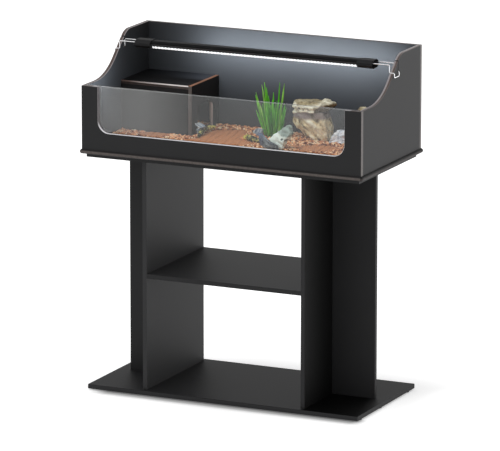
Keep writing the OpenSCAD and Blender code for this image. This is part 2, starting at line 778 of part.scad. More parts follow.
// One blade of grass: a thin strip that widens, tapers and leans out more as it rises
module blade(turn, from, lean, height, width) {
    steps = 5;
    thick = 0.8;
    rings = [for (i = [0 : steps]) let (k = i / steps, half = width * (0.28 + 0.9 * k - 1.13 * k * k))
        for (c = [[-1, -1], [1, -1], [1, 1], [-1, 1]])
            [from + lean * k * k + c[1] * thick, c[0] * half, height * k]];
    rotate([0, 0, turn]) polyhedron(rings, concat(
        [[0, 2, 1], [0, 3, 2]],
        [for (i = [0 : steps - 1]) for (s = [0 : 3])
            let (a = 4 * i + s, b = 4 * i + (s + 1) % 4)
            each [[a, b + 4, a + 4], [a, b, b + 4]]],
        [for (a = [4 * steps]) each [[a, a + 1, a + 2], [a, a + 2, a + 3]]]));
}

// Each blade: direction, distance from the middle, lean, share of the grass's height
BLADES = [[10, 5, 14, 1], [82, 5, 12, 0.86], [154, 5, 20, 0.96], [226, 5, 12, 0.82], [298, 5, 16, 0.92],
          [-18, 14, 30, 0.98], [27, 14, 28, 0.8], [72, 14, 24, 0.7], [117, 14, 28, 0.85],
          [162, 14, 40, 0.78], [207, 14, 34, 0.7], [252, 14, 24, 0.84], [297, 14, 34, 0.74]];

module grass_plant() color([0.3, 0.6, 0.2]) on_pad(0) {
    cylinder(r = 19, h = 6, $fn = small);
    for (b = BLADES) translate([0, 0, 5]) blade(b[0], b[1], b[2], (grass_h - 5) * b[3], 8);
}

// Sets a piece on its pad
module on_pad(i) translate([PADS[i][0], PADS[i][1], stone_z]) children();

// A stone as the hull of flat outlines, each [height, [[x, y], ...]]
module stone(layers) hull() for (layer = layers)
    translate([0, 0, layer[0]]) linear_extrude(0.1) polygon(layer[1]);

module cave_rock_body() color([0.62, 0.58, 0.48]) on_pad(1)
    stone([[0, [[-30, -24], [10, -24], [14, 4], [-2, 28], [-26, 22]]],
           [cave_h * 0.1, [[-84, 4], [-40, -26], [14, -26], [18, 6], [0, 34], [-60, 28]]],
           [cave_h * 0.34, [[-120, 4], [-78, -34], [12, -34], [20, 6], [0, 42], [-98, 30]]],
           [cave_h * 0.57, [[-118, 2], [-78, -34], [4, -34], [10, 4], [-8, 38], [-96, 28]]],
           [cave_h * 0.7 - 0.1, [[-106, 0], [-74, -30], [-2, -28], [4, 4], [-12, 32], [-88, 24]]]]);

module cave_rock_top() color([0.72, 0.7, 0.64]) on_pad(1)
    stone([[cave_h * 0.7, [[-108, -12], [-80, -42], [-30, -40], [0, -10], [-14, 24], [-90, 20]]],
           [cave_h * 0.84, [[-120, -8], [-84, -48], [-20, -46], [22, -18], [32, 8], [-4, 34], [-98, 22]]],
           [cave_h * 0.93, [[-106, -4], [-60, -28], [20, -30], [34, 0], [24, 16], [-10, 30], [-90, 20]]],
           [cave_h - 6, [[-60, -10], [0, -14], [24, 2], [-10, 20], [-60, 16]]]]);

module slate_wedge() color([0.66, 0.7, 0.7]) on_pad(2)
    stone([[0, [[30, -16], [46, -16], [44, 0], [32, 2]]],
           [34, [[-4, -14], [56, -22], [62, 4], [4, 14]]],
           [82, [[52, 0], [66, -6], [72, 8], [58, 14]]]]);

module slate_slab() color([0.3, 0.34, 0.42]) on_pad(2)
    stone([[0, [[-39, 10], [-20, -14], [22, -31], [28, -27], [-24, 16]]],
           [20, [[-54, 18], [-36, -4], [6, -28], [20, -32], [23, -29], [-42, 18]]],
           [30, [[-58, 24], [-46, 6], [-4, -22], [0, -20], [-50, 24]]],
           [40, [[-62, 30], [-54, 16], [-48, 20], [-54, 36]]]]);

module pale_rock() color([0.75, 0.78, 0.8]) on_pad(3)
    stone([[0, [[-34, -24], [30, -26], [34, 18], [-28, 22]]],
           [24, [[-16, -18], [34, -22], [34, 20], [-10, 22]]],
           [38, [[-6, -8], [26, -12], [26, 8], [4, 10]]]]);

module corner_rock() color([0.7, 0.66, 0.54]) on_pad(4)
    stone([[0, [[-34, -28], [30, -30], [36, 26], [-28, 32]]],
           [65, [[-38, -24], [32, -26], [38, 30], [-32, 34]]],
           [138, [[-20, -10], [10, -14], [14, 12], [-14, 14]]]]);

module left_shard() color([0.42, 0.45, 0.48]) on_pad(5)
    stone([[0, [[-4, -16], [2, -18], [3, 6], [-1, 8]]],
           [22, [[-10, -24], [-4, -27], [6, 14], [0, 18]]],
           [43, [[-14, -22], [-10, -26], [-6, 0], [-10, 4]]]]);

module middle_shard() color([0.42, 0.45, 0.48]) on_pad(6)
    stone([[0, [[-18, 6], [16, -14], [20, -8], [-12, 12]]],
           [12, [[-20, 8], [18, -12], [22, -6], [-14, 14]]],
           [26, [[0, -2], [22, -12], [26, -6], [6, 4]]]]);

// ---------- the assembly ----------

base_board();
base_glides();
base_screws();
left_leg_panel();
right_leg_panel();
left_leg_wing();
right_leg_wing();
wing_dowels();
middle_shelf();
shelf_dowels();
shelf_cams();
shelf_cam_bolts();
sub_top_board();
top_screws();
moulding_board();
moulding_screws();
floor_panel();
front_panel();
left_side_panel();
right_side_panel();
back_panel();
color(beech) tray_dowel_set();  // tray_dowels
front_edging();
left_side_edging();
right_side_edging();
back_edging();
glazing_tape();
front_glass();
hide_front_panel();
hide_divider();
hide_edging();
lid_battens();
hide_lid();
lid_edging();
lamp_housing();
lamp_driver();
left_end_cap();
right_end_cap();
left_wire_block();
right_wire_block();
cap_screws();
cord_grommet();
led_board();
led_chips();
led_diffuser();
left_bracket();
right_bracket();
bedding();
hide_bedding();
grass_plant();
cave_rock_body();
cave_rock_top();
slate_wedge();
slate_slab();
pale_rock();
corner_rock();
left_shard();
middle_shard();
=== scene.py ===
# %% [markdown]
# # A reptile terrarium on its stand
# The cabinet is black laminated board: a tray with a glazed window on a two-legged stand, a hide
# box in one corner, a light on wire hangers over it, and loose bedding, stones and grass inside.
# The boards, fittings and hangers come from the CAD frame as they are. This lesson gives them
# their finishes and then makes what CAD leaves plain: bedding, stones, slates, grass and twigs.

# %% Load the frame
import json
import math
import random
from functools import cached_property

import bmesh
import bpy
from mathutils import Matrix, Vector, noise
from mathutils.bvhtree import BVHTree

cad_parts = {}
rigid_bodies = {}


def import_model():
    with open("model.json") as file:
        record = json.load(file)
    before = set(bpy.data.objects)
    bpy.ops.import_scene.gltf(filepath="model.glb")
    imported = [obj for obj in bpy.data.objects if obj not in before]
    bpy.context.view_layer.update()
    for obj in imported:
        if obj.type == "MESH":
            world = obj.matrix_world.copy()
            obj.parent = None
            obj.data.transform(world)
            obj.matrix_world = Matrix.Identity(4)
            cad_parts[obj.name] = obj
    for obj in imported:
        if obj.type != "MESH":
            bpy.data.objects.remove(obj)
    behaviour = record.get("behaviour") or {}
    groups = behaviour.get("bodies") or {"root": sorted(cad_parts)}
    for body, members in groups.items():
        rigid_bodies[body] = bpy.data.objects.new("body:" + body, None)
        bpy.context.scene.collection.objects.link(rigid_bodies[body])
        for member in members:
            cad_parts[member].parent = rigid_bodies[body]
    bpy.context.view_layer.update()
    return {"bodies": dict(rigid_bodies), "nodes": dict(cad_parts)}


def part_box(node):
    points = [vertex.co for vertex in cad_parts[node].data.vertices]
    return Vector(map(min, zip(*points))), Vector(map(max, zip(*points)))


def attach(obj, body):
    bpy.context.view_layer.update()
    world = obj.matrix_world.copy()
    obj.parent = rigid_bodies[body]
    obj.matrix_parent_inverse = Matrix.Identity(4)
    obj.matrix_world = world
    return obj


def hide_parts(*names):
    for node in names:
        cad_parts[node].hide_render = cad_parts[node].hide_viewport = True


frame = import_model()
nodes = frame["nodes"]

# %% [markdown]
# ## The camera
# A long lens from about fifteen metres keeps upright edges upright, as in a catalogue picture.
# A camera can be turned with angles, but three axes written out as a matrix place it exactly.

# %% Camera
camera_eye = Vector((6.98374, -14.92970, 4.35724))
camera_right = Vector((0.905584401, 0.424165140, 0.000909177))
camera_up = Vector((-0.0960766242, 0.203033064, 0.974446950))
camera_back = Vector((0.413141834, -0.882531308, 0.224615930))
lens = bpy.data.cameras.new("camera")
lens.sensor_fit = "HORIZONTAL"
lens.sensor_width = 36.0
lens.lens = 370.354
lens.clip_end = 100.0
camera = bpy.data.objects.new("camera", lens)
camera_rows = list(zip(camera_right, camera_up, camera_back, camera_eye))
camera.matrix_world = Matrix(camera_rows + [(0, 0, 0, 1)])
bpy.context.scene.collection.objects.link(camera)
bpy.context.scene.camera = camera
bpy.context.scene.view_settings.view_transform = "Standard"
print("camera", [round(c, 3) for c in camera.location])

# %% [markdown]
# ## Tools for patterns
# A finish is a small web of nodes: coordinates go in, patterns shape them, and a shader takes the
# result. It could be dragged together in the editor, but a few named steps keep each finish to
# some lines of code. Every pattern reads Object coordinates, so that it has its real size in
# metres and stays with the piece.


# %% Pattern steps
class Pattern:
    """A node tree, with the steps that patterns are made of."""

    def __init__(self, tree):
        self.tree = tree

    def fill(self, socket, value):
        """Gives a socket a number, a colour, or what another node puts out."""
        if isinstance(value, bpy.types.Node):
            value = value.outputs[0]
        if isinstance(value, bpy.types.NodeSocket):
            self.tree.links.new(value, socket)
        elif isinstance(value, tuple):
            socket.default_value = (*value, 1)
        else:
            socket.default_value = value

    def node(self, kind, *inputs, **settings):
        """A new node, with its settings made and its first sockets filled."""
        made = self.tree.nodes.new("ShaderNode" + kind)
        for name, value in settings.items():
            setattr(made, name, value)
        for socket, value in zip(made.inputs, inputs):
            self.fill(socket, value)
        return made

    @cached_property
    def where(self):
        """Object coordinates: in metres, and fixed to the piece."""
        return self.node("TexCoord").outputs["Object"]

    def along(self, axis):
        """How far along X, Y or Z a point lies, in metres."""
        return self.node("SeparateXYZ", self.where).outputs[axis]

    def math(self, operation, *values):
        return self.node("Math", *values, operation=operation).outputs[0]

    def product(self, factor, *others):
        """Factors multiplied: 1 only where all of them are."""
        for other in others:
            factor = self.math("MULTIPLY", factor, other)
        return factor

    def span(self, factor, low, high, start=0.3, end=0.7):
        """A factor's range from start to end, spread from low to high. Noise lies in 0.3 to 0.7."""
        return self.node("MapRange", factor, start, end, low, high).outputs["Result"]

    def rise(self, axis, start, end):
        """0 before one place along an axis, 1 past another."""
        return self.span(self.along(axis), 0, 1, start, end)

    def fall(self, axis, start, end):
        """1 before one place along an axis, 0 past another."""
        return self.span(self.along(axis), 1, 0, start, end)

    def steps(self, factor, *stops):
        """Colours laid along a factor: (place, colour), ..."""
        ramp = self.node("ValToRGB", factor)
        band = ramp.color_ramp
        while len(band.elements) < len(stops):
            band.elements.new(0.5)
        for element, (place, colour) in zip(band.elements, stops):
            element.position = place
            element.color = (*colour, 1)
        return ramp.outputs[0]

    def mix(self, factor, first, second, way="MIX"):
        """Two colours mixed by a factor, each a socket or a plain colour."""
        made = self.node("Mix", factor, data_type="RGBA", blend_type=way)
        self.fill(made.inputs[6], first)
        self.fill(made.inputs[7], second)
        return made.outputs[2]

    def cloud(self, size, detail=3, stretch=(1, 1, 1), rough=0.5):
        """Soft random patches about this many metres across."""
        mapping = self.node("Mapping", self.where)
        mapping.inputs["Scale"].default_value = [s / size for s in stretch]
        made = self.node("TexNoise", mapping)
        for socket, value in (("Scale", 1.0), ("Detail", detail), ("Roughness", rough)):
            made.inputs[socket].default_value = value
        return made.outputs["Fac"]

    def attribute(self, name):
        """A number written on the mesh, point by point."""
        return self.node("Attribute", attribute_name=name).outputs["Fac"]


print("steps:", *(step for step in vars(Pattern) if not step.startswith("_")))

# %% [markdown]
# ## Finishes
# A finish is a material with one Principled shader, which covers board, metal, plastic, stone and
# glass alike. Several plainer shaders could be mixed for each, but this one travels to other
# programs as it is. Specular level and metal are plain numbers on it; colour, roughness and relief
# may come from a pattern.


# %% Finish
def rgb(red, green, blue):
    """A colour as read off a screen, 0 to 255, as the linear light that Blender mixes."""
    return tuple(((c / 255 + 0.055) / 1.055) ** 2.4 if c > 10 else c / 3295
                 for c in (red, green, blue))


class Finish(Pattern):
    """A material, its shader, and the patterns that drive it."""

    def __init__(self, name, colour, roughness, shine=0.5, metal=0.0):
        self.material = bpy.data.materials.new(name)
        self.material.use_nodes = True
        super().__init__(self.material.node_tree)
        self.shader = self.tree.nodes["Principled BSDF"]
        for socket, value in (("Base Color", colour), ("Roughness", roughness),
                              ("Specular IOR Level", shine), ("Metallic", metal)):
            self.set(socket, value)

    def set(self, socket, value):
        """Gives one of the shader's sockets a value or a pattern."""
        self.fill(self.shader.inputs[socket], value)

    def paint(self, colour):
        self.set("Base Color", colour)

    def colour_now(self):
        """The pattern that drives the base colour so far."""
        return self.shader.inputs["Base Color"].links[0].from_socket

    def relief(self, height, depth, strength):
        """Bumps of this many metres, which only the shading shows."""
        bump = self.node("Bump")
        for socket, value in (("Height", height), ("Distance", depth), ("Strength", strength)):
            self.fill(bump.inputs[socket], value)
        self.set("Normal", bump)


def dress(finish, *names):
    """Gives CAD nodes their finish."""
    for name in names:
        slots = nodes[name].data.materials
        slots.clear()
        slots.append(finish.material)
    print(finish.material.name, "on", *names)


print("middle grey is", round(rgb(128, 128, 128)[0], 3), "in linear light")

# %% [markdown]
# ## A white studio
# Black board shows its shape by what it mirrors, so the room is white all round. An image of a
# studio could light it too, but plain white needs no file. The world gives soft light at a plain
# level, and pure white to whatever looks at it directly, in a mirror or through glass.

# %% World
PLAIN_LEVEL = 0.8
world = bpy.data.worlds.new("white_studio")
bpy.context.scene.world = world
world.use_nodes = True
world.node_tree.nodes.clear()
sky = Pattern(world.node_tree)
path = sky.node("LightPath")
seen = path.outputs["Is Camera Ray"]
for ray in ("Is Glossy Ray", "Is Transmission Ray"):
    seen = sky.math("MAXIMUM", seen, path.outputs[ray])
air = sky.node("Background")
sky.fill(air.inputs["Strength"], sky.span(seen, PLAIN_LEVEL, 1.0, 0, 1))
sky.node("OutputWorld", air)
print("world at", PLAIN_LEVEL)

# %% [markdown]
# ## Lights
# A room that is white all round has no direction, so one wide softbox from above adds a little,
# and a card far behind gives the right-hand faces a soft gleam. An area light is used for both,
# because a sun or a spot would throw hard shadows on the floor.


# %% Softbox and side card
def add_object(name, data):
    made = bpy.data.objects.new(name, data)
    bpy.context.scene.collection.objects.link(made)
    return made


def area_light(name, size, at, aim, watts, colour=(1, 1, 1), in_mirrors=False):
    """A rectangular lamp at one point, aimed at another, that the camera doesn't see."""
    light = bpy.data.lights.new(name, "AREA")
    light.shape = "RECTANGLE"
    light.size, light.size_y = size
    light.energy = watts
    light.color = colour
    lamp = add_object(name, light)
    lamp.location = at
    lamp.rotation_euler = (Vector(aim) - Vector(at)).to_track_quat("-Z", "Y").to_euler()
    lamp.visible_camera = False
    lamp.visible_glossy = in_mirrors
    print(name, [round(c, 3) for c in at], watts, "W")
    return lamp


area_light("softbox", (4.0, 4.0), (-1.5, -3.0, 6.0), (0, 0, 0.9), 150)
area_light("side_card", (3.0, 1.6), (2.8, 4.8, 1.0), (0.3, 0, 0.8), 22, in_mirrors=True)

# %% [markdown]
# ## Floor
# White paper under the stand. It keeps the stand's shadow, and it glows a little, so that it comes
# out white and not grey: least near the base, and up to plain white away from it. A narrow shadow
# is painted along the front edge of the base, where the board all but touches the paper. To light
# that bounces about, the paper is plain grey, so that its glow doesn't light the boards. A shadow
# catcher would leave the white to be added later, and this way the scene is whole by itself.

# %% Floor
floor_shape = bmesh.new()
bmesh.ops.create_grid(floor_shape, x_segments=1, y_segments=1, size=40)
floor_mesh = bpy.data.meshes.new("floor")
floor_shape.to_mesh(floor_mesh)
floor_shape.free()
floor = add_object("floor", floor_mesh)
paper = bpy.data.materials.new("white_paper")
paper.use_nodes = True
paper.node_tree.nodes.clear()
floor.data.materials.append(paper)
sheet = Pattern(paper.node_tree)
base_low, base_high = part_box("base_board")
print("floor", floor.name, "under", [round(c, 3) for c in base_low])


# %% Paper
def greys(axis, *stops):
    """Greys at places along the floor, in metres, that run into each other."""
    low, high = stops[0][0], stops[-1][0]
    return sheet.steps(sheet.rise(axis, low, high),
                       *(((at - low) / (high - low), (grey,) * 3) for at, grey in stops))


NEAR_GLOW, MORE_GLOW_AWAY = 0.37, 0.22
away = sheet.math("MAXIMUM",
                  greys("Y", (base_high.y + 0.03, 0.0), (base_high.y + 0.20, 1.0)),
                  greys("X", (base_high.x + 0.05, 0.0), (base_high.x + 0.20, 1.0)))
glow = sheet.node("Emission", (1, 1, 1),
                  sheet.math("MULTIPLY_ADD", away, MORE_GLOW_AWAY, NEAR_GLOW))
matt = sheet.node("BsdfDiffuse", (0.95, 0.95, 0.95))
plain = sheet.node("BsdfDiffuse", (0.7, 0.7, 0.7))
bounced = sheet.node("LightPath").outputs["Is Diffuse Ray"]
open_paper = sheet.node("MixShader", bounced, sheet.node("AddShader", matt, glow), plain)

front = base_low.y
# Painted shadow: a dark band on the paper just in front of the base's front edge.
painted_contact_shadow = sheet.math(
    "MULTIPLY",
    greys("Y", (front - 0.042, 0.0), (front - 0.026, 0.30), (front - 0.010, 0.62),
          (front + 0.030, 0.66), (front + 0.040, 0.0)),
    greys("X", (base_low.x + 0.010, 0.0), (base_low.x + 0.070, 1.0),
          (base_high.x - 0.020, 1.0), (base_high.x + 0.025, 0.0)))
# The near black of the painted shadow.
shade = sheet.node("BsdfDiffuse", (0.02, 0.02, 0.02))
sheet.node("OutputMaterial", sheet.node("MixShader", painted_contact_shadow, open_paper, shade))
print(paper.name, "with", len(paper.node_tree.nodes), "nodes")

# %% [markdown]
# ## Black laminated board
# Melamine paper pressed on chipboard has a fine satin peel: no gloss, but grazing light still
# catches it. A near black colour under a rough, weak shine does that, and the peel is a relief of
# a hundredth of a millimetre. Wood pores would be the other choice, but this board is plain.

# %% Laminate
laminate = Finish("laminate", rgb(32, 32, 33), 0.55, shine=0.22)
laminate.paint(laminate.steps(laminate.cloud(0.15, 2),
                              (0.3, rgb(31, 31, 32)), (0.7, rgb(33, 33, 34))))
laminate.relief(laminate.cloud(0.0012, 1), 0.00001, 0.15)
dress(laminate, "left_leg_wing", "right_leg_wing", "middle_shelf", "sub_top_board", "floor_panel",
      "front_panel", "left_side_panel", "right_side_panel", "back_panel", "hide_front_panel",
      "hide_divider", "lid_battens")

# %% [markdown]
# ## Boards with painted shade
# The lid, the legs and the base are the same board, but light falls off along them: the lid is dark
# at its left end, the right leg's outer face is nearly black, and the corner of the base between
# that leg, its wing and the front edge lies in deep shade. Soft studio light alone leaves these too
# even, so each board has painted shade that runs along its own length. The base's top is also
# painted lighter than its edges.

# %% Lid and legs
lid_board = Finish("lid_laminate_painted_shade", rgb(24, 24, 25), 0.6, shine=0.15)
# Painted shade: the lid grows near black towards its left end.
lid_board.paint(lid_board.steps(lid_board.rise("X", -0.47, -0.25),
                                (0.0, rgb(5, 5, 6)), (1.0, rgb(24, 24, 26))))
dress(lid_board, "hide_lid")

LEGS_SPAN = 0.8  # from left of both legs to the right leg's outer face
leg_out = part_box("right_leg_panel")[1].x
leg_board = Finish("leg_laminate_painted_shade", rgb(35, 35, 36), 0.55, shine=0.22)
# Painted light and shade: lighter over the left part of the span, darker to the right, and near
# black on the right leg's outer face.
leg_board.paint(leg_board.steps(
    leg_board.rise("X", leg_out - LEGS_SPAN, leg_out),
    (0.0, rgb(46, 46, 47)), (0.3, rgb(46, 46, 47)), (0.7, rgb(37, 37, 38)),
    (0.9985, rgb(37, 37, 38)), (0.9995, rgb(1, 1, 1))))
dress(leg_board, "left_leg_panel", "right_leg_panel")

# %% Base board
base_board = Finish("base_laminate_painted_light_and_shade", rgb(30, 30, 31), 0.55, shine=0.15)
wing_low, wing_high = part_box("right_leg_wing")
beside_leg = base_board.rise("X", leg_out - 0.004, leg_out)
before_wing = base_board.fall("Y", wing_low.y - 0.002, wing_low.y + 0.002)
slant = base_board.math("ADD", base_board.along("X"),
                        base_board.product(base_board.along("Y"), 0.25))
short_of_end = base_board.span(slant, 1, 0, wing_high.x - 0.025, wing_high.x + 0.015)
on_top = base_board.rise("Z", base_high.z - 0.001, base_high.z - 0.0005)
# Painted shade: the base's top goes black in the corner beside the right leg, before its wing.
deep = base_board.product(beside_leg, before_wing, short_of_end, on_top)
# Painted light: the top is lighter than the edges.
painted_lit_top = base_board.mix(on_top, rgb(47, 47, 48), rgb(28, 28, 29))
base_board.paint(base_board.mix(deep, painted_lit_top, rgb(0, 0, 0)))
dress(base_board, "base_board")

# %% [markdown]
# ## Edge bands
# The boards' cut edges are covered with thin brown plastic band, ironed on and trimmed flush. It
# has faint streaks and a satin face. One helper makes the band, and masks along the board's axes
# say where painted highlights and painted shade lie on it.


# %% Back and side bands
def band_finish(name, dark, light):
    """Thin plastic band with faint streaks and a satin face."""
    made = Finish(name, light, 0.38, shine=0.5)
    made.paint(made.steps(made.cloud(0.01, 3), (0.35, dark), (0.65, light)))
    made.relief(made.cloud(0.002, 2), 0.00004, 0.3)
    return made


edge_band = band_finish("edge_band", rgb(58, 48, 45), rgb(74, 62, 58))
dress(edge_band, "back_edging")

side_band = band_finish("side_band", rgb(66, 52, 48), rgb(80, 64, 58))
# Painted highlight: a pale strip along the inner part of the side bands.
amount = side_band.product(side_band.rise("X", -0.4910, -0.4904), side_band.fall("X", 0.4935, 0.4945))
side_band.paint(side_band.mix(amount, side_band.colour_now(), rgb(140, 133, 134)))
dress(side_band, "left_side_edging", "right_side_edging")

# %% [markdown]
# ## Bands of the hide box
# The lid's band has a painted highlight: a pale lip along its top that grows brighter to the right.
# The box's own band has painted light on top, a copper colour where light grazes it. Around the
# doorway it has painted shade on the near side and under the arch, and painted light on the far
# jamb, most of all at its outer corner. Each band is one CAD piece, so masks along X, Y and Z pick
# these places, and no mesh has to be cut.

# %% Lid band
lid_band = band_finish("lid_band", rgb(50, 42, 40), rgb(62, 52, 49))
lid_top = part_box("lid_edging")[1].z
painted_lip_highlight = lid_band.mix(lid_band.rise("X", -0.46, -0.31), rgb(108, 90, 84), rgb(250, 246, 244))
painted_lip = lid_band.rise("Z", lid_top - 0.0045, lid_top - 0.0035)
lid_band.paint(lid_band.mix(painted_lip, lid_band.colour_now(), painted_lip_highlight))
dress(lid_band, "lid_edging")

# %% Hide band
hide_band_painted_light_and_shade = band_finish("hide_band_painted_light_and_shade", rgb(78, 71, 68), rgb(92, 84, 81))
divider_low, divider_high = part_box("hide_divider")
door_y = (divider_low.y + divider_high.y) / 2
top_face = hide_band_painted_light_and_shade.rise("Z", divider_high.z - 0.0006, divider_high.z)
doorway = hide_band_painted_light_and_shade.span(top_face, 1, 0, 0, 1)
# Painted light: copper on the top face, where light grazes it.
hide_band_painted_light_and_shade.paint(hide_band_painted_light_and_shade.mix(top_face, hide_band_painted_light_and_shade.colour_now(), rgb(164, 116, 90)))
# Painted shade on the near side of the doorway and under its arch.
painted_arch_shade = hide_band_painted_light_and_shade.product(hide_band_painted_light_and_shade.rise("Y", 0.028, 0.032),
                           hide_band_painted_light_and_shade.fall("Y", door_y + 0.042, door_y + 0.048), doorway)
hide_band_painted_light_and_shade.paint(hide_band_painted_light_and_shade.mix(painted_arch_shade, hide_band_painted_light_and_shade.colour_now(), rgb(30, 30, 31)))
# Painted light on the far jamb, brightest at its outer corner.
far_jamb = hide_band_painted_light_and_shade.product(hide_band_painted_light_and_shade.rise("Y", 0.176, 0.182), doorway)
painted_jamb_light = hide_band_painted_light_and_shade.steps(hide_band_painted_light_and_shade.rise("X", -0.240, -0.229), (0.0, rgb(90, 76, 66)),
                               (0.6, rgb(190, 168, 160)), (1.0, rgb(250, 232, 228)))
hide_band_painted_light_and_shade.paint(hide_band_painted_light_and_shade.mix(far_jamb, hide_band_painted_light_and_shade.colour_now(), painted_jamb_light))
dress(hide_band_painted_light_and_shade, "hide_edging")

# %% [markdown]
# ## Moulding and window frame
# The half-round moulding under the tray turns its middle to the light, so its nose gets a painted
# dark line above and below, and its end gets painted shade. The window's frame has a painted
# highlight on its sill, two jambs painted a lighter grey, and plain brown band at the tray's outer
# corners. Masks pick these places as before.

# %% Moulding
moulding = band_finish("moulding", rgb(80, 74, 71), rgb(94, 87, 84))
moulding.set("Roughness", 0.6)
moulding.set("Specular IOR Level", 0.25)
nose_low, nose_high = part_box("moulding_board")
# Painted shade: dark lines along the nose, below and above its middle.
under = moulding.fall("Z", nose_low.z + 0.0022, nose_low.z + 0.0030)
over = moulding.rise("Z", nose_high.z - 0.0048, nose_high.z - 0.0038)
front_nose_painted_shade = moulding.mix(moulding.math("MAXIMUM", under, over), moulding.colour_now(),
                          rgb(32, 30, 30))
# Painted shade on the end: dark grey low down, near black above.
end_nose_painted_shade = moulding.mix(moulding.rise("Z", nose_low.z + 0.008, nose_low.z + 0.011),
                        rgb(56, 50, 49), rgb(5, 5, 5))
on_end = moulding.rise("X", nose_high.x - 0.008, nose_high.x - 0.007)
moulding.paint(moulding.mix(on_end, front_nose_painted_shade, end_nose_painted_shade))
dress(moulding, "moulding_board")

# %% Window frame
front_band = band_finish("front_band", rgb(58, 48, 45), rgb(74, 62, 58))
sill_front = front_band.fall("Y", -0.2355, -0.2345)
# Painted highlight: near white on the front part of the sill, grey behind it.
painted_sill_highlight = front_band.mix(sill_front, rgb(96, 92, 94), rgb(240, 238, 242))
# Painted light: the jambs above the sill are a lighter grey than the band.
painted_frame_light = front_band.mix(front_band.fall("Z", 0.900, 0.914), rgb(138, 134, 136), painted_sill_highlight)
off_middle = front_band.math("ABSOLUTE", front_band.along("X"))
outer_corner = front_band.span(off_middle, 0, 1, 0.455, 0.465)
front_band.paint(front_band.mix(outer_corner, painted_frame_light, front_band.colour_now()))
dress(front_band, "front_edging")

# %% [markdown]
# ## Fittings
# Zinc-plated screws and cams, beech dowels, plastic glides under the base and foam tape behind the
# glass. Little of them shows from the front, but the stand is looked at from below too. Zinc is
# metal with an uneven polish, beech has fine grain along its length, and the plastics share one
# helper, because they differ only in colour, gloss and the coarseness of the mould.


# %% Fittings
def moulded(name, colour, roughness, shine=0.5, grain=0.0008, depth=0.00004, strength=0.4):
    """Plastic, rubber or foam, with the fine texture of its mould."""
    made = Finish(name, colour, roughness, shine)
    made.relief(made.cloud(grain, 2), depth, strength)
    return made


zinc = Finish("zinc", (0.62, 0.63, 0.65), 0.3, metal=1.0)
zinc.set("Roughness", zinc.span(zinc.cloud(0.002, 3), 0.24, 0.42))
dress(zinc, "base_screws", "shelf_cams", "shelf_cam_bolts", "top_screws", "moulding_screws",
      "cap_screws")
beech = Finish("beech", rgb(205, 176, 132), 0.6)
beech.paint(beech.steps(beech.cloud(0.003, 4, stretch=(0.2, 0.2, 1)),
                        (0.3, rgb(186, 152, 108)), (0.7, rgb(216, 190, 148))))
dress(beech, "wing_dowels", "shelf_dowels", "tray_dowels")
dress(moulded("glide_plastic", rgb(30, 30, 31), 0.5, depth=0.00005, strength=0.5), "base_glides")
dress(moulded("foam_tape", rgb(20, 20, 21), 0.85, grain=0.0006, depth=0.0001, strength=0.6),
      "glazing_tape")

# %% [markdown]
# ## Window glass
# Float glass four millimetres thick, a little dusty from the bedding. The sheet refracts as real
# glass does, and its mirror image of the white room is held back a little with the specular tint.
# A trace of white scatter stands for the dust and for a painted haze: more of it to the left, most
# of it as a painted highlight in the corner beside the left jamb, a painted reflection on the strip
# by that jamb, and a painted highlight along the top edge. Light on its way to the bedding passes
# straight through, because a refracting sheet would otherwise cast a dark shadow.

# %% Dust and painted haze on the glass
THIN_DUST_AND_HAZE = 0.004
glass = Finish("window_glass", (0.96, 0.985, 0.98), 0.0)
dust_and_painted_haze = glass.steps(glass.rise("X", -0.46, 0.46), (0.0, (0.050,) * 3), (0.18, (0.064,) * 3),
                   (0.37, (THIN_DUST_AND_HAZE,) * 3), (0.75, (THIN_DUST_AND_HAZE,) * 3), (0.9, (0.014,) * 3))
dust_and_painted_haze = glass.product(dust_and_painted_haze, glass.span(glass.along("Z"), 0.45, 1.0, 0.866, 0.896))
# Painted reflection: more haze on the strip beside the left jamb.
dust_and_painted_haze = glass.math("ADD", dust_and_painted_haze, glass.span(glass.along("X"), 0.022, 0.0, -0.445, -0.438))
# Painted highlight: the ground top edge catches light
glass_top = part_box("front_glass")[1].z
painted_top_highlight = glass.span(glass.along("Z"), 0.0, 0.09, glass_top - 0.0036, glass_top - 0.0030)
# A painted highlight outside a round of 34 mm about this point, down to the left of it
ROUND_X, ROUND_Z = -0.401, 0.916
leftwards = glass.math("SUBTRACT", glass.math("MULTIPLY", glass.along("X"), -1), -ROUND_X)
downwards = glass.math("SUBTRACT", ROUND_Z, glass.along("Z"))
squares = [glass.math("POWER", glass.math("MAXIMUM", way, 0), 2) for way in (leftwards, downwards)]
reach = glass.math("SQRT", glass.math("ADD", *squares))
painted_corner_highlight = glass.product(glass.span(reach, 0.0, 0.15, 0.0325, 0.0345),
                       glass.fall("X", -0.405, -0.400))
dust_and_painted_haze = glass.math("ADD", dust_and_painted_haze, glass.math("MAXIMUM", painted_top_highlight, painted_corner_highlight))
print("glass with", THIN_DUST_AND_HAZE, "of dust at least")

# %% Glass
for socket, value in (("Transmission Weight", 1.0), ("IOR", 1.52), ("Specular Tint", (0.72,) * 3)):
    glass.set(socket, value)
dust_and_haze_layer = glass.node("MixShader", dust_and_painted_haze, glass.shader, glass.node("BsdfDiffuse", (0.8, 0.8, 0.8)))
to_light = glass.node("LightPath").outputs["Is Shadow Ray"]
through = glass.node("MixShader", to_light, dust_and_haze_layer, glass.node("BsdfTransparent"))
glass.fill(glass.tree.nodes["Material Output"].inputs["Surface"], through)
dress(glass, "front_glass")

# %% [markdown]
# ## Lamp
# The bar is black anodised aluminium with one rolled rib, which catches light as a painted
# highlight line, between two plastic caps. Under it a round diffuser glows in waves, because the
# chips behind it are 12 mm apart. Its upper rim sits in the housing's channel, with a scalloped
# edge, and is painted dark as shade and gives no glow. The glow is a cosine along the bar: light
# sent through a real diffuser would take long to settle, and look the same. The hangers are bright
# polished wire.

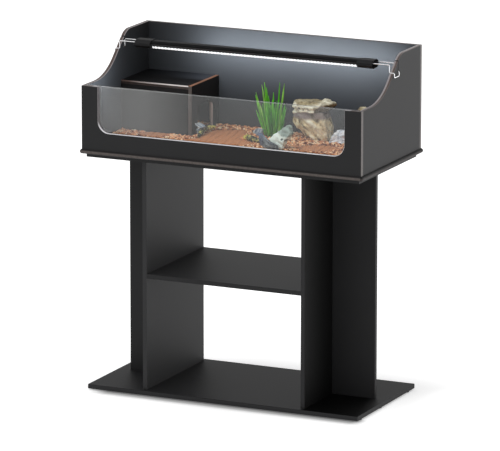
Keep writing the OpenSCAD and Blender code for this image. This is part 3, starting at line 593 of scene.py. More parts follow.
# %% Housing and caps
RIB_HEIGHT = 0.0045
anodised = Finish("anodised_black", rgb(16, 16, 17), 0.6, shine=0.12)
anodised.set("Roughness", anodised.span(anodised.cloud(0.004, 3, stretch=(0.05, 1, 1)), 0.55, 0.65))
rib_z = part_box("lamp_housing")[0].z + RIB_HEIGHT
from_rib = anodised.math("ABSOLUTE", anodised.math("SUBTRACT", anodised.along("Z"), rib_z))
# Painted highlight: a light grey line along the rib.
anodised.paint(anodised.mix(anodised.span(from_rib, 1, 0, 0.0008, 0.0014),
                            rgb(11, 11, 12), rgb(64, 64, 65)))
dress(anodised, "lamp_housing")
dress(moulded("cap_plastic", rgb(24, 24, 25), 0.6, shine=0.2),
      "left_end_cap", "right_end_cap", "left_wire_block", "right_wire_block")
dress(moulded("driver_case", rgb(78, 79, 82), 0.5), "lamp_driver")
dress(moulded("grommet_rubber", rgb(22, 22, 22), 0.7), "cord_grommet")
polished_wire = Finish("polished_wire", (0.96, 0.96, 0.97), 0.25, metal=1.0)
polished_wire.set("Roughness", polished_wire.span(polished_wire.cloud(0.004, 3), 0.2, 0.3))
dress(polished_wire, "left_bracket", "right_bracket")

# %% Light board, chips and diffuser
CHIP_PITCH = 0.012
light_board = Finish("light_board", rgb(220, 222, 220), 0.5)
light_board.paint(light_board.steps(light_board.cloud(0.004, 2),
                                    (0.4, rgb(205, 208, 206)), (0.6, rgb(226, 228, 226))))
dress(light_board, "led_board")
chip_glow = Finish("light_chip", (1.0, 0.95, 0.8), 0.4)
chip_glow.set("Emission Color", (1.0, 0.97, 0.9))
chip_glow.set("Emission Strength", chip_glow.span(chip_glow.cloud(0.002, 1), 6.0, 9.0))
dress(chip_glow, "led_chips")
diffuser = Finish("diffuser", (0.9, 0.92, 0.95), 0.5)
diffuser.set("Emission Color", (0.96, 0.98, 1.0))
cosine = diffuser.math("COSINE", diffuser.product(diffuser.along("X"), math.tau / CHIP_PITCH))
rim_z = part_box("led_diffuser")[1].z - 0.0042
scalloped_z = diffuser.math("SUBTRACT", diffuser.along("Z"), diffuser.product(cosine, 0.0006))
below_rim = diffuser.span(scalloped_z, 1.0, 0.02, rim_z - 0.0004, rim_z + 0.0004)
waves = diffuser.span(cosine, 0.4, 1.35, -1, 1)
diffuser.set("Emission Strength", diffuser.product(waves, below_rim))
# Painted shade: the rim above the line is dark grey.
diffuser.paint(diffuser.mix(below_rim, rgb(30, 30, 31), (0.9, 0.92, 0.95)))
dress(diffuser, "led_diffuser")

# %% [markdown]
# ## The light's wash
# The strip lights the boards around it, most of all the back panel just behind the bar. Real light
# from the strip would need many samples to settle, so two area lamps do its work. They light the
# named boards alone and they ride on the lamp, so the wash moves with it.


# %% Wash of the light
def board_wash(name, size, offset, way, watts, boards):
    """An unseen lamp near the bar's middle that lights the named boards and no others."""
    at = bar + Vector(offset)
    wash = area_light(name, size, at, at + Vector(way), watts, (0.80, 0.91, 1.0))
    lit = bpy.data.collections.new(name + "_boards")
    for board in boards:
        lit.objects.link(nodes[board])
    wash.light_linking.receiver_collection = lit
    wash.parent = frame["bodies"]["lamp"]


lamp_low, lamp_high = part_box("lamp_housing")
bar = (lamp_low + lamp_high) / 2
board_wash("back_wash", (0.73, 0.04), (0.065, 0.0915, -0.036), (0, 1, 0), 8.6,
           ("back_panel", "hide_lid"))
board_wash("left_wash", (0.04, 0.08), (-0.338, -0.22, -0.074), (-1, 0, 0), 3.1,
           ("left_side_panel",))

# %% [markdown]
# ## Bedding
# The tray is filled with bark and clay granules, raked smooth in a few places. The CAD slab gives
# the heights, because the stones stand on it. A displacement modifier could roughen the slab
# itself, but a ray cast down on it gives every new piece its height. Noise then adds lumps where
# granules lie, and shallow grooves where the rake went.

# %% Measure the slab
slab = nodes["bedding"].data
slab_tree = BVHTree.FromPolygons([v.co for v in slab.vertices], [p.vertices for p in slab.polygons])
bed_low, bed_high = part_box("bedding")
hide_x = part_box("hide_divider")[1].x
hide_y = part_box("hide_front_panel")[0].y
# Raked ovals: the middle of each, and its half width and half depth
RAKED = ((-0.130, 0.060, 0.080, 0.120), (-0.060, -0.020, 0.085, 0.060),
         (0.235, 0.010, 0.070, 0.065), (-0.350, -0.020, 0.060, 0.045),
         (-0.160, -0.040, 0.060, 0.050))
RAKE_PITCH = 0.0225
print("bedding", [round(c, 3) for c in bed_low], [round(c, 3) for c in bed_high])


# %% Heights
def clamp(value):
    return min(1.0, max(0.0, value))


def raked(x, y):
    """How smooth the bedding is at a point: 1 where it was raked, 0 where granules lie."""
    best = 0.0
    for cx, cy, rx, ry in RAKED:
        wobble = 0.25 * noise.noise(Vector((x * 30, y * 30, 3)))
        reach = math.hypot((x - cx) / rx, (y - cy) / ry) + wobble
        best = max(best, clamp((1.1 - reach) / 0.25))
    return best


def groove(x, y):
    """1 in the bottom of a groove left by the rake, 0 between grooves, less where wear has filled
    it.
    """
    across = x + 0.19 * y + 0.004 * noise.noise(Vector((x * 14, y * 14, 0)))
    amount = min(1.0, max(0.15, 0.55 + 1.2 * noise.noise(Vector((x * 22, y * 22, 3.0)))))
    return amount * (max(0.0, math.cos(math.tau * (across + 0.156) / RAKE_PITCH)) ** 6)


def ground(x, y):
    """Height of the finished bedding at a point. It thins out in the far right corner."""
    hit = slab_tree.ray_cast(Vector((x, y, 2)), Vector((0, 0, -1)))[0]
    if hit is None:  # on the slab's very edge
        hit = slab_tree.find_nearest(Vector((x, y, bed_high.z)))[0]
    smooth = raked(x, y)
    furrow = 0.0006 * noise.noise(Vector((x * 90, y * 90, 0))) - 0.0018 * groove(x, y)
    lump = 0.0030 * noise.noise(Vector((x * 60, y * 60, 0)))
    lump += 0.0025 * noise.noise(Vector((x * 150, y * 150, 5)))
    thin = 0.0045 * clamp((y - 0.180) / 0.03) * clamp(x / 0.04)
    return hit.z - thin + smooth * furrow + (1 - smooth) * (lump - 0.0015)


print("height in the middle", round(ground(0, 0), 4))

# %% [markdown]
# ## Ground under the granules
# The slab's own faces are long thin triangles, which don't bend well, so a fine grid is draped over
# it. Then it gets sides and a bottom, so that the piece is closed. The grid carries two numbers at
# each point, how smooth and how deep in a groove it is, for the finish to read: raked earth is pale
# and fine, with painted shade in its grooves, and the ground in the gaps between granules is
# painted dark as shade.


# %% Drape the ground
def bed_grid(low, high, columns, rows):
    """A flat grid over a box, seen from above."""
    shape = bmesh.new()
    bmesh.ops.create_grid(
        shape, x_segments=columns, y_segments=rows, size=0.5,
        matrix=Matrix.Translation(((low.x + high.x) / 2, (low.y + high.y) / 2, 0))
        @ Matrix.Diagonal((high.x - low.x, high.y - low.y, 1, 1)))
    return shape


def fill_down(shape, z):
    """Gives a draped grid its sides and a flat bottom."""
    under = bmesh.ops.extrude_face_region(shape, geom=shape.faces[:])["geom"]
    for v in [g for g in under if isinstance(g, bmesh.types.BMVert)]:
        v.co.z = z
    bmesh.ops.recalc_face_normals(shape, faces=shape.faces)


GRID = 0.003
wide, deep = bed_high.x - bed_low.x, bed_high.y - bed_low.y
earth = bed_grid(bed_low, bed_high, round(wide / GRID), round(deep / GRID))
middles = [(f, f.calc_center_median()) for f in earth.faces]
in_hide_box = [f for f, middle in middles if not (middle.x > hide_x or middle.y < hide_y)]
bmesh.ops.delete(earth, geom=in_hide_box, context="FACES")
smooth_layer = earth.verts.layers.float.new("smooth")
groove_layer = earth.verts.layers.float.new("groove")
for v in earth.verts:
    v[smooth_layer] = raked(v.co.x, v.co.y)
    v[groove_layer] = groove(v.co.x, v.co.y) * v[smooth_layer]
    v.co.z = ground(v.co.x, v.co.y)
fill_down(earth, bed_low.z)
bottom = [f for f in earth.faces if all(v.co.z < bed_low.z + 1e-6 for v in f.verts)]
bmesh.ops.dissolve_faces(earth, faces=bottom)
print("ground", len(earth.faces), "faces")


# %% Finish the ground
def settle(parts, place):
    """Sorts points or faces by place, because extruded walls come in an order that varies."""
    ranks = {part: rank for rank, part in enumerate(sorted(parts, key=place))}
    parts.sort(key=lambda part: ranks[part])


def keep(shape, name, slot, finish, *stands_for, body="tray", smooth=True):
    """Turns a bmesh into a piece that rides on a body, in its finish."""
    bmesh.ops.recalc_face_normals(shape, faces=shape.faces)
    settle(shape.verts, lambda v: tuple(v.co))
    settle(shape.faces, lambda f: tuple(f.calc_center_median()))
    mesh = bpy.data.meshes.new(name)
    shape.to_mesh(mesh)
    shape.free()
    mesh.shade_smooth() if smooth else mesh.shade_flat()
    piece = add_object(name, mesh)
    mesh.materials.append(finish.material)
    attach(piece, body)
    if stands_for:
        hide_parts(*stands_for)
    print(name, len(mesh.vertices), "points", len(mesh.polygons), "faces")


earth_finish = Finish("raked_earth", rgb(176, 113, 64), 0.95, shine=0.1)
fine = earth_finish.steps(earth_finish.cloud(0.005, 5, rough=0.65), (0.3, rgb(160, 98, 60)),
                          (0.5, rgb(188, 124, 82)), (0.7, rgb(216, 156, 112)))
# Painted shade in the rake's grooves.
fine = earth_finish.mix(earth_finish.attribute("groove"), fine, rgb(138, 82, 48))
# Painted shade: the ground between the granules is dark.
painted_gap_shade = earth_finish.steps(earth_finish.cloud(0.012, 3),
                          (0.3, rgb(56, 32, 20)), (0.7, rgb(104, 60, 34)))
earth_finish.paint(earth_finish.mix(earth_finish.attribute("smooth"), painted_gap_shade, fine))
earth_finish.relief(earth_finish.cloud(0.003, 4, rough=0.7), 0.0008, 0.8)
keep(earth, "bedding_ground", "bark", earth_finish, "bedding")

# %% [markdown]
# ## Granules
# Crumbs of bark and fired clay, 7 to 13 mm across, in every tone from dark brown to cream. They
# could be instanced from a few shapes, but each its own is livelier: an icosphere of twenty faces,
# squeezed, turned and nicked, with one tone from a seeded dice. They lie on a jittered grid, a
# little over 7 mm apart, and leave the raked places free.

# %% Finish of the granules
granules = Finish("granules", rgb(205, 142, 92), 0.85, shine=0.15)
tone = granules.steps(granules.attribute("tone"), (0.0, rgb(104, 64, 44)), (0.2, rgb(166, 102, 68)),
                      (0.45, rgb(222, 148, 102)), (0.75, rgb(255, 198, 146)),
                      (1.0, rgb(255, 234, 200)))
granules.paint(granules.mix(granules.span(granules.cloud(0.003, 3), 0.0, 0.2), tone,
                            rgb(110, 60, 36)))
granules.relief(granules.cloud(0.0015, 3), 0.0003, 0.7)
print(granules.material.name)


# %% Handfuls of granules
HANDFUL = 60


def granule(shape, tone_layer, spot, dice):
    """One nicked granule on its spot."""
    size = dice.uniform(0.0034, 0.0064)
    turn, roll, tip = dice.uniform(0, math.tau), dice.uniform(-0.7, 0.7), dice.uniform(-0.5, 0.5)
    squeeze = Matrix.Diagonal((1, dice.uniform(0.7, 0.95), dice.uniform(0.65, 0.9), 1))
    lie = (Matrix.Translation(spot) @ Matrix.Rotation(turn, 4, "Z") @ Matrix.Rotation(roll, 4, "X")
           @ Matrix.Rotation(tip, 4, "Y") @ squeeze)
    made = bmesh.ops.create_icosphere(shape, subdivisions=1, radius=size, matrix=lie)["verts"]
    tint = dice.random()
    for v in made:
        v.co += Vector([dice.uniform(-0.2, 0.2) * size for _ in range(3)])
        v[tone_layer] = tint


def strewn(name, spots, seed):
    """Granules on the given spots, by the handful, because a bmesh slows down as it grows."""
    dice = random.Random(seed)
    whole = bmesh.new()
    whole.verts.layers.float.new("tone")
    for first in range(0, len(spots), HANDFUL):
        handful = bmesh.new()
        tone_layer = handful.verts.layers.float.new("tone")
        for spot in spots[first:first + HANDFUL]:
            granule(handful, tone_layer, spot, dice)
        part = bpy.data.meshes.new("handful")
        handful.to_mesh(part)
        handful.free()
        whole.from_mesh(part)
        bpy.data.meshes.remove(part)
    keep(whole, name, "bark", granules, smooth=False)


print("granules come in handfuls of", HANDFUL)


# %% Strew the tray
def in_bed(x, y):
    return (bed_low.x < x < bed_high.x and bed_low.y < y < bed_high.y
            and (x > hide_x or y < hide_y))


SPACING, FROM_EDGE = 0.0073, 0.006
dice = random.Random(7)
spots = []
for i in range(int(wide / SPACING)):
    for j in range(int(deep / SPACING)):
        x = bed_low.x + (i + dice.uniform(0.1, 0.9)) * SPACING
        y = bed_low.y + (j + dice.uniform(0.1, 0.9)) * SPACING
        inside = in_bed(x - FROM_EDGE, y + FROM_EDGE) and in_bed(x + FROM_EDGE, y - FROM_EDGE)
        if inside and dice.random() > raked(x, y) * 1.02 - 0.01:
            spots.append((x, y, ground(x, y) + dice.uniform(0.0, 0.0030)))
strewn("bedding_granules", spots, 11)

# %% [markdown]
# ## Bedding in the hide box
# The same earth and granules fill the floor of the hide box. It is seen only through the doorway
# and from above when the lid is out, so a coarser grid with one layer of noise is enough.

# %% Fill the hide box
COLUMNS, ROWS, FROM_WALL = 28, 22, 0.008
hide_low, hide_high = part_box("hide_bedding")
litter = bed_grid(hide_low, hide_high, 40, 32)
for v in litter.verts:
    v.co.z = hide_high.z + 0.003 * noise.noise(v.co * 40) - 0.001
fill_down(litter, hide_low.z)
keep(litter, "hide_ground", "bark", earth_finish, "hide_bedding")
hide_spots = []
for i in range(COLUMNS):
    for j in range(ROWS):
        x = hide_low.x + (i + dice.uniform(0.2, 0.8)) / COLUMNS * (hide_high.x - hide_low.x)
        y = hide_low.y + (j + dice.uniform(0.2, 0.8)) / ROWS * (hide_high.y - hide_low.y)
        if (hide_low.x + FROM_WALL < x < hide_high.x - FROM_WALL
                and hide_low.y + FROM_WALL < y < hide_high.y - FROM_WALL):
            hide_spots.append((x, y, hide_high.z + 0.001))
strewn("hide_granules", hide_spots, 12)

# %% [markdown]
# ## Stones and slates
# Broken stone has flat breaks, worn corners and layers. The CAD stones are hulls with the right
# stance, so each stone starts as a merged copy of its hull. A voxel remesh gives it an even grain,
# smoothing rounds the corners, and layers of noise along the normals break the faces up. Sculpting
# by hand would do it too, but noise in metres gives the same stone each time.


# %% Carving tool
def even_grain(name, node, grain):
    """A bmesh of a CAD node's hull, remeshed to faces of one size."""
    hull = bmesh.new()
    hull.from_mesh(nodes[node].data)
    bmesh.ops.remove_doubles(hull, verts=hull.verts, dist=1e-5)
    block = bpy.data.meshes.new(name + "_block")
    hull.to_mesh(block)
    hull.free()
    blank = add_object(name + "_block", block)
    remesh = blank.modifiers.new("grain", "REMESH")
    remesh.mode = "VOXEL"
    remesh.voxel_size = grain
    bpy.context.view_layer.update()
    even = bpy.data.meshes.new_from_object(
        blank.evaluated_get(bpy.context.evaluated_depsgraph_get()))
    bpy.data.objects.remove(blank)
    stone = bmesh.new()
    stone.from_mesh(even)
    bpy.data.meshes.remove(even)
    return stone


def soften(shape, rounds, factor=0.5):
    for _ in range(rounds):
        bmesh.ops.smooth_vert(shape, verts=shape.verts, factor=factor,
                              use_axis_x=True, use_axis_y=True, use_axis_z=True)


def carved(name, node, body, slot, finish, grain, rounds, carve):
    """A stone from its CAD hull. carve gives each point its move and its shade marks."""
    stone = even_grain(name, node, grain)
    soften(stone, rounds)
    stone.normal_update()
    floor_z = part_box(node)[0].z
    marks = [stone.verts.layers.float.new(mark) for mark in ("pale", "dark", "cool")]
    moved = []
    for v in stone.verts:
        shift, *shades = carve(v.co, v.normal)
        moved.append(v.co + shift)
        for mark, shade in zip(marks, shades):
            v[mark] = clamp(shade)
    for v, at in zip(stone.verts, moved):
        v.co = at
        v.co.z = max(v.co.z, floor_z)
    keep(stone, name, slot, finish, node, body=body)


print("marks on a stone: pale, dark, cool")


# %% Noise for stone
def layers_of(at, size, octaves=4):
    """Fractal noise from about -1 to 1, with its largest lumps this many metres across."""
    return noise.fractal(at / size, 1.0, 2.0, octaves)


def breaks(at, size):
    """Flat-faced lumps, as stone has where it split: 0 in a face's middle, 1 at its edge."""
    near = noise.voronoi(at / size)[0]
    return min(1.0, near[0] / max(near[1], 1e-6))


def drawn_out(at, way, size):
    """Fractal noise pulled out along a direction, as layers and flutes are."""
    way = Vector(way).normalized()
    return noise.fractal((at - way * (at.dot(way) * 0.82)) / size, 1.0, 2.0, 4)


def pit(at, out, x, z, radius):
    """1 at the middle of a hole in a front face, 0 outside it."""
    return max(0.0, 1 - math.hypot(at.x - x, at.z - z) / radius) if out.y < 0 else 0.0


print("lumps at the middle of the bed", round(layers_of(Vector((0, 0, 0.9)), 0.02), 3))

# %% [markdown]
# ## Finishes of the stones
# Each stone has three tones in soft patches. Over them lie the marks that carving leaves on the
# mesh: pale where a crust or bloom is; cool where the stone is bluer, and as painted shadow under
# the cave rock's cap and painted shade in the pits of the pale stones; dark as painted shade in
# hollows, holes, cracks and under the cap, and along dark veins. An attribute carries them, so that
# colour and shape agree at every point.


# %% Stone finishes
def stone_finish(name, size, *tones):
    """Mottled stone in dark, middle and light tones, with a pale crust, a cool bloom and painted
    shade.
    """
    dark, middle, light, pale, cool = (rgb(*tone) for tone in tones)
    made = Finish(name, middle, 0.85, shine=0.3)
    mottled = made.steps(made.cloud(size, 6, rough=0.65), (0.3, dark), (0.5, middle), (0.7, light))
    # Crust and bloom, with the cool mark also carrying painted shadow and shade.
    crust = made.mix(made.attribute("cool"), made.mix(made.attribute("pale"), mottled, pale), cool)
    # The dark mark's colour: painted shade in hollows, holes and cracks, and dark veins.
    hollow = tuple(c * 0.25 for c in dark)
    made.paint(made.mix(made.attribute("dark"), crust, hollow))
    made.relief(made.cloud(size * 0.25, 5, rough=0.7), 0.0012, 0.8)
    print(name)
    return made


body_stone = stone_finish("body_stone", 0.012, (168, 144, 100), (246, 228, 184), (255, 248, 218),
                          (255, 252, 230), (128, 116, 126))
cap_stone = stone_finish("cap_stone", 0.012, (120, 106, 84), (178, 164, 132), (210, 198, 162),
                         (252, 248, 226), (104, 97, 108))
grey_green_slate = stone_finish("grey_green_slate", 0.016, (116, 130, 124), (150, 166, 158),
                                (180, 196, 186), (240, 252, 244), (100, 108, 112))
blue_slate = stone_finish("blue_slate", 0.012, (46, 52, 60), (86, 96, 104), (132, 142, 146),
                          (172, 182, 184), (84, 98, 142))
grey_slate = stone_finish("grey_slate", 0.014, (92, 104, 122), (136, 150, 168), (176, 190, 206),
                          (222, 222, 216), (70, 72, 78))
white_stone = stone_finish("white_stone", 0.012, (190, 204, 226), (236, 244, 255), (250, 252, 255),
                           (255, 255, 255), (170, 140, 140))
cream_stone = stone_finish("cream_stone", 0.025, (140, 126, 96), (184, 170, 134), (214, 202, 170),
                           (232, 224, 200), (120, 112, 104))

# %% [markdown]
# ## Cave rock
# A real piece of stone: a fluted body that narrows to its foot, and a flat cap over it. The cap is
# tan on top, with a pale, pitted front face and a cream ridge at its right end. The cap keeps the
# light off the body just below it, and that band gets a painted shadow, darker and bluer. Hollows,
# holes and the cap's underside get painted shade. A painted texture would have to be drawn; here a
# point's place and the way it faces say which crust, hollow or painted shade it has.


# %% Cave rock
def carve_body(at, out):
    flutes = drawn_out(at, (0.75, 0, -0.66), 0.013)
    split = breaks(at + Vector((0.3, 0, 0)), 0.035)
    depth = 0.0035 * flutes + 0.008 * (split - 0.5) + 0.002 * layers_of(at, 0.01, 3)
    # Painted shadow: the band just under the cap.
    under_cap = clamp((at.z - 0.902 - 0.05 * (at.x - 0.15)) / 0.010)
    crust = 1.0 if out.y < -0.15 and at.z > 0.923 + 0.29 * (at.x - 0.116) else 0.0
    # Painted shade in the flutes' hollows, the splits and one pit.
    hollow = (max(0.0, -flutes - 0.05) * 1.1 + 0.5 * max(0.0, split - 0.75)
              + pit(at, out, 0.188, 0.905, 0.010))
    pale = max(crust, max(0.0, flutes - 0.05) * 1.4 * (1 - under_cap))
    return out * (depth + 0.003 * crust), pale, hollow, under_cap * 0.85 * (1 - crust)


# Holes in the cap's front face: across, up, radius
CAP_HOLES = ((0.127, 0.944, 0.0060), (0.111, 0.936, 0.0042), (0.140, 0.938, 0.0030),
             (0.152, 0.944, 0.0026))


def carve_cap(at, out):
    ledge = 0.0022 * math.sin(at.z * 420 + 4 * layers_of(at, 0.06))
    ridge = clamp((at.x - 0.185) / 0.012)
    depth = ledge + 0.004 * layers_of(at, 0.03) + (0.0018 + 0.002 * ridge) * layers_of(at, 0.008, 3)
    holes = max(pit(at, out, *hole) for hole in CAP_HOLES)
    crumbs = max(0.0, layers_of(at, 0.006, 2))
    on_front = out.y < -0.1 and out.z < 0.75 and at.x < 0.178 and at.z < 0.957
    right_crust = ridge * (0.75 if out.z > 0.1 else 0.0) * (0.8 + 0.6 * layers_of(at, 0.01))
    streaks = 0.6 * max(0.0, drawn_out(at, (1, 0, 0.1), 0.012))
    pale = max(1.0 if on_front else 0.0, right_crust) * (0.95 - 0.5 * crumbs) + streaks
    # Painted shade on the cap's underside.
    under = 0.75 if out.z < -0.45 and at.x > 0.178 else 0.0
    shift = out * (depth - 0.005 * holes) + Vector((0, 0, 0.003 * ridge * max(0.0, out.z)))
    return shift, pale, max(under, 1.8 * holes, 0.7 * max(0.0, -layers_of(at, 0.014)))


carved("cave_rock_lower", "cave_rock_body", "cave_rock", "sandstone", body_stone, 0.0024, 1,
       carve_body)
carved("cave_rock_cap", "cave_rock_top", "cave_rock", "sandstone", cap_stone, 0.0022, 1, carve_cap)

# %% [markdown]
# ## Slates
# Two slates stand in front of the cave rock. The upright one is grey-green with a pale broken face
# and two round holes; the lying one is dark blue with thin layers along its length. Two grey chips
# lie farther left. Slate splits in sheets, so its noise is drawn out along the layers, where plain
# noise would make it look like a pebble.


# %% Upright and lying slate
def carve_wedge(at, out):
    layer = 0.0010 * math.sin(at.z * 300 + at.x * 180 + 3 * layers_of(at, 0.05))
    holes = max(pit(at, out, 0.139, 0.873, 0.0052), pit(at, out, 0.152, 0.871, 0.0052))
    break_line = 0.884 + 0.8 * max(0.0, 0.137 - at.x) + 0.002 * layers_of(at, 0.02)
    face = clamp((break_line - at.z) / 0.004)
    streaks = max(0.0, drawn_out(at, (0.5, 0, -0.85), 0.010))
    wing = max(0.0, 1 - abs(at.z - 0.893) / 0.028) * clamp((at.x - 0.130) / 0.02)
    depth = layer + 0.0025 * layers_of(at, 0.03) - 0.005 * holes
    shift = Vector((0.011 * wing, 0, 0)) + out * depth
    # Painted shade in the two holes; dark streaks above the broken face.
    return shift, face * (0.9 - 0.3 * streaks), max(2.0 * holes, 0.35 * streaks * (1 - face))


def carve_slab(at, out):
    grain = drawn_out(at, (0.09, -0.066, -0.04), 0.009)
    toe = Vector((0.75 * max(0.0, at.x - 0.098), 0, 0))
    bloom = clamp((0.075 - at.x) / 0.03)
    shift = toe + out * (0.0016 * grain + 0.002 * layers_of(at, 0.02))
    return shift, 0.7 * max(0.0, grain), 0.8 * max(0.0, -grain), bloom * 0.6


carved("leaning_slate", "slate_wedge", "slate", "pale_slate", grey_green_slate, 0.0016, 1,
       carve_wedge)
carved("lying_slate", "slate_slab", "slate", "dark_slate", blue_slate, 0.0014, 1, carve_slab)


# %% Slate chips
def carve_chip(at, out):
    grain = drawn_out(at, (0.5, 0, 0.85), 0.009)
    # The pale mark on faces that turn upwards.
    amount = clamp((out.z - 0.65) / 0.2)
    shift = out * (0.002 * grain + 0.002 * layers_of(at, 0.02))
    return shift, max(amount * 0.8, 0.9 * grain), max(0.0, -grain - 0.1) * 1.2


def carve_left_chip(at, out):
    shift, pale, dark = carve_chip(at, out)
    waist = max(0.0, 1 - abs(at.z - 0.864) / 0.010)
    sunk = Vector((0.012 * waist, 0, -0.005 * clamp((at.z - 0.85) / 0.03)))
    return shift + sunk, pale, dark


carved("left_slate_chip", "left_shard", "left_chip", "dark_slate", grey_slate, 0.0014, 1,
       carve_left_chip)
carved("middle_slate_chip", "middle_shard", "middle_chip", "dark_slate", grey_slate, 0.0014, 1,
       carve_chip)

# %% [markdown]
# ## Pale stone and corner stone
# A white, crumbly stone lies to the right of the cave rock, and a tall cream one stands farther
# right, near the side board. Both are lumps that broke along many small faces, with slanting pits
# between. Smooth noise has no faces, so cell noise breaks them up, and both share one carving.


# %% Pale stone and corner stone
def carve_lumps(at, out):
    split = breaks(at, 0.022)
    lumps = layers_of(at, 0.02)
    pits = max(0.0, -drawn_out(at, (0.95, 0, 0.3), 0.007) - 0.12)
    shift = out * (0.008 * (split - 0.5) + 0.003 * lumps - 0.01 * pits)
    # Painted shade: dark in the cracks between faces, cool in the pits.
    return shift, max(0.0, lumps), max(0.0, split - 0.8) * 3.0, pits * 2.5


def carve_corner(at, out):
    shift, *shades = carve_lumps(at, out)
    return shift - Vector((0.013 * max(0.0, (at.z - 0.93) / 0.04), 0, 0)), *shades


carved("pale_stone_piece", "pale_rock", "pale_stone", "pale_stone", white_stone, 0.002, 2,
       carve_lumps)
carved("corner_stone_piece", "corner_rock", "corner_stone", "sandstone", cream_stone, 0.003, 3,
       carve_corner)

# %% [markdown]
# ## Grass
# The tuft is moulded soft plastic: blades with a folded middle rib that rise straight, then bow out
# to thin tips. Hair could make grass too, but each blade here is a narrow grid bent along a curve,
# which stays one solid piece. A few tall blades are placed one by one, because they give the tuft
# its outline, and shorter ones fill it in at random.

# %% Blades
plant_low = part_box("grass_plant")[0]
root = Vector((0.024, 0.114, plant_low.z))
# The tips of the tall blades, from the root
TALL = ((-0.060, -0.004, 0.145), (-0.068, 0.010, 0.133), (-0.044, 0.008, 0.170),
        (-0.029, -0.004, 0.182), (-0.018, -0.012, 0.167), (-0.019, 0.006, 0.136),
        (0.002, 0.000, 0.150), (0.006, -0.016, 0.128), (0.022, 0.006, 0.184),
        (0.043, -0.002, 0.183), (0.036, 0.010, 0.169), (0.047, 0.004, 0.102),
        (0.052, -0.014, 0.117), (-0.056, -0.010, 0.089), (-0.059, 0.006, 0.109),
        (-0.039, -0.018, 0.114), (0.002, -0.020, 0.111), (0.025, -0.016, 0.116),
        (0.007, 0.010, 0.123))


def blade(shape, foot, tip, width, stiff, turn, tone):
    """One blade: a grid bent on a curve from foot to tip, folded along its rib."""
    tone_layer = shape.verts.layers.float["tone"]
    strip = bmesh.ops.create_grid(shape, x_segments=2, y_segments=9, size=0.5)["verts"]
    knee = Vector((foot.x + (tip.x - foot.x) * stiff, foot.y + (tip.y - foot.y) * stiff,
                   foot.z + (tip.z - foot.z) * 0.62))
    side = Vector((math.cos(turn), math.sin(turn), 0))
    fold = Vector((-side.y, side.x, 0))
    for v in strip:
        across, k = v.co.x * 2, v.co.y + 0.5
        spine = foot * (1 - k) ** 2 + knee * 2 * k * (1 - k) + tip * k * k
        half = width * (0.42 + 1.1 * k - 1.45 * k * k) + 0.0002
        v.co = spine + side * across * max(half, 0.0002) + fold * (abs(across) * half * 0.5)
        v[tone_layer] = tone


print("tallest blade", max(tip[2] for tip in TALL), "m above the root")

# %% Plant the tuft
SHORT_BLADES = 62
grass = bmesh.new()
grass.verts.layers.float.new("tone")
dice = random.Random(21)
for tip in TALL:
    tip = Vector(tip)
    foot = root + Vector((tip.x * 0.42, tip.y * 0.4, 0.004))
    blade(grass, foot, root + tip, 0.0060, 0.62, dice.uniform(-0.4, 0.5), dice.uniform(0.45, 1.0))
for _ in range(SHORT_BLADES):
    around, away = dice.uniform(0, math.tau), dice.uniform(0.1, 1.0)
    reach = Vector((math.cos(around) * 0.050 * away, math.sin(around) * 0.034 * away, 0))
    tip = root + reach + Vector((0, 0, dice.uniform(0.060, 0.112)))
    foot = root + reach * 0.45 + Vector((0, 0, 0.003))
    blade(grass, foot, tip, dice.uniform(0.0036, 0.0056), dice.uniform(0.5, 0.75),
          dice.uniform(-0.7, 0.9), dice.uniform(0.0, 0.8))
bmesh.ops.solidify(grass, geom=grass.faces[:], thickness=0.0004)
bmesh.ops.create_cone(grass, cap_ends=True, segments=24, radius1=0.018, radius2=0.015, depth=0.006,
                      matrix=Matrix.Translation(root + Vector((0, 0, 0.003))))
print("grass", len(TALL) + SHORT_BLADES, "blades")

# %% [markdown]
# ## Green of the grass
# The plastic is dyed through: deep green at the root and paler towards the tips, a different green
# from blade to blade, with faint streaks along each. Noise over the whole tuft would run from one
# blade to the next, so each blade carries its own tone as an attribute.

# %% Finish the grass
grass_green = Finish("grass_green", rgb(84, 158, 60), 0.5, shine=0.25)
by_height = grass_green.steps(grass_green.rise("Z", 0.84, 1.02), (0.0, rgb(60, 134, 40)),
                              (0.4, rgb(84, 200, 50)), (0.75, rgb(110, 226, 66)),
                              (1.0, rgb(150, 244, 104)))
by_blade = grass_green.steps(grass_green.attribute("tone"), (0.0, rgb(22, 84, 8)),
                             (0.4, rgb(62, 184, 26)), (0.7, rgb(150, 255, 70)),
                             (1.0, rgb(225, 255, 160)))
streaks = grass_green.steps(grass_green.cloud(0.005, 2, stretch=(1, 1, 0.05)),
                            (0.38, rgb(150, 166, 138)), (0.62, rgb(255, 255, 250)))
green = grass_green.mix(0.6, by_height, by_blade)
grass_green.paint(grass_green.mix(0.8, green, streaks, "MULTIPLY"))
keep(grass, "grass_tuft", "grass", grass_green, "grass_plant", body="plant")

# %% [markdown]
# ## Mossy twigs
# A short twig leans on each slate chip: bark that is mostly grown over with yellow-green moss in
# rings. A curve with a bevel would give a smooth rod, but rings of eight points, bridged one to
# the next, can be thinned at the ends and swollen at the knots.

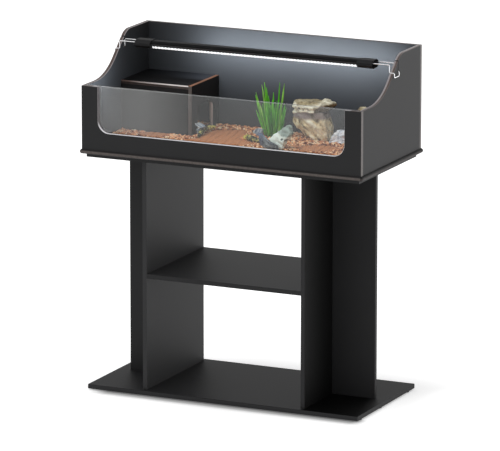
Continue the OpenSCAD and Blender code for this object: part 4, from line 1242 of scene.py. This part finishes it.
# %% Moss
moss = Finish("mossy_twig", rgb(130, 136, 60), 0.8, shine=0.3)
bark = moss.steps(moss.cloud(0.010, 3), (0.40, rgb(16, 15, 10)), (0.48, rgb(66, 68, 42)),
                  (0.58, rgb(140, 140, 86)), (0.68, rgb(210, 200, 122)))
tuft = moss.steps(moss.cloud(0.009, 2), (0.36, rgb(70, 62, 24)), (0.5, rgb(206, 194, 84)),
                  (0.66, rgb(240, 232, 144)))
moss.paint(moss.mix(moss.attribute("mossy"), bark, tuft))
moss.relief(moss.cloud(0.002, 4), 0.0006, 0.9)
print(moss.material.name)

# %% Twigs
TWIG_RINGS = 22


def twig(name, body, thick, *way):
    """A tapered twig through the given points, with knots, mossy at its last point."""
    shape = bmesh.new()
    mossy = shape.verts.layers.float.new("mossy")
    rings = []
    for i in range(TWIG_RINGS + 1):
        part = i / TWIG_RINGS
        k = part * (len(way) - 1)
        n = min(int(k), len(way) - 2)
        start, end = Vector(way[n]), Vector(way[n + 1])
        taper = 0.35 + 0.65 * math.sin(math.pi * (0.08 + 0.84 * part)) ** 0.6
        knots = 1 + 0.18 * math.sin(i * 2.3)
        ahead = (end - start).normalized().to_track_quat("Z", "X").to_matrix().to_4x4()
        ring = bmesh.ops.create_circle(
            shape, cap_ends=False, segments=8, radius=thick * taper * knots,
            matrix=Matrix.Translation(start.lerp(end, k - n)) @ ahead)["verts"]
        for v in ring:
            v[mossy] = clamp((part - 0.62) / 0.1)
        rings.append([e for v in ring for e in v.link_edges])
    for one, other in zip(rings, rings[1:]):
        bmesh.ops.bridge_loops(shape, edges=list(set(one + other)))
    bmesh.ops.holes_fill(shape, edges=[e for e in shape.edges if e.is_boundary])
    soften(shape, 2, factor=0.4)
    keep(shape, name, "grass", moss, body=body)


twig("left_twig", "left_chip", 0.0088, (-0.188, -0.008, 0.842), (-0.198, 0.024, 0.845),
     (-0.205, 0.064, 0.848), (-0.203, 0.104, 0.850), (-0.198, 0.138, 0.845))
twig("middle_twig", "middle_chip", 0.0112, (0.030, 0.002, 0.843), (0.008, 0.014, 0.845),
     (-0.014, 0.024, 0.846), (-0.030, 0.034, 0.846), (-0.044, 0.038, 0.842))

# %% Update the view layer
bpy.context.view_layer.update()
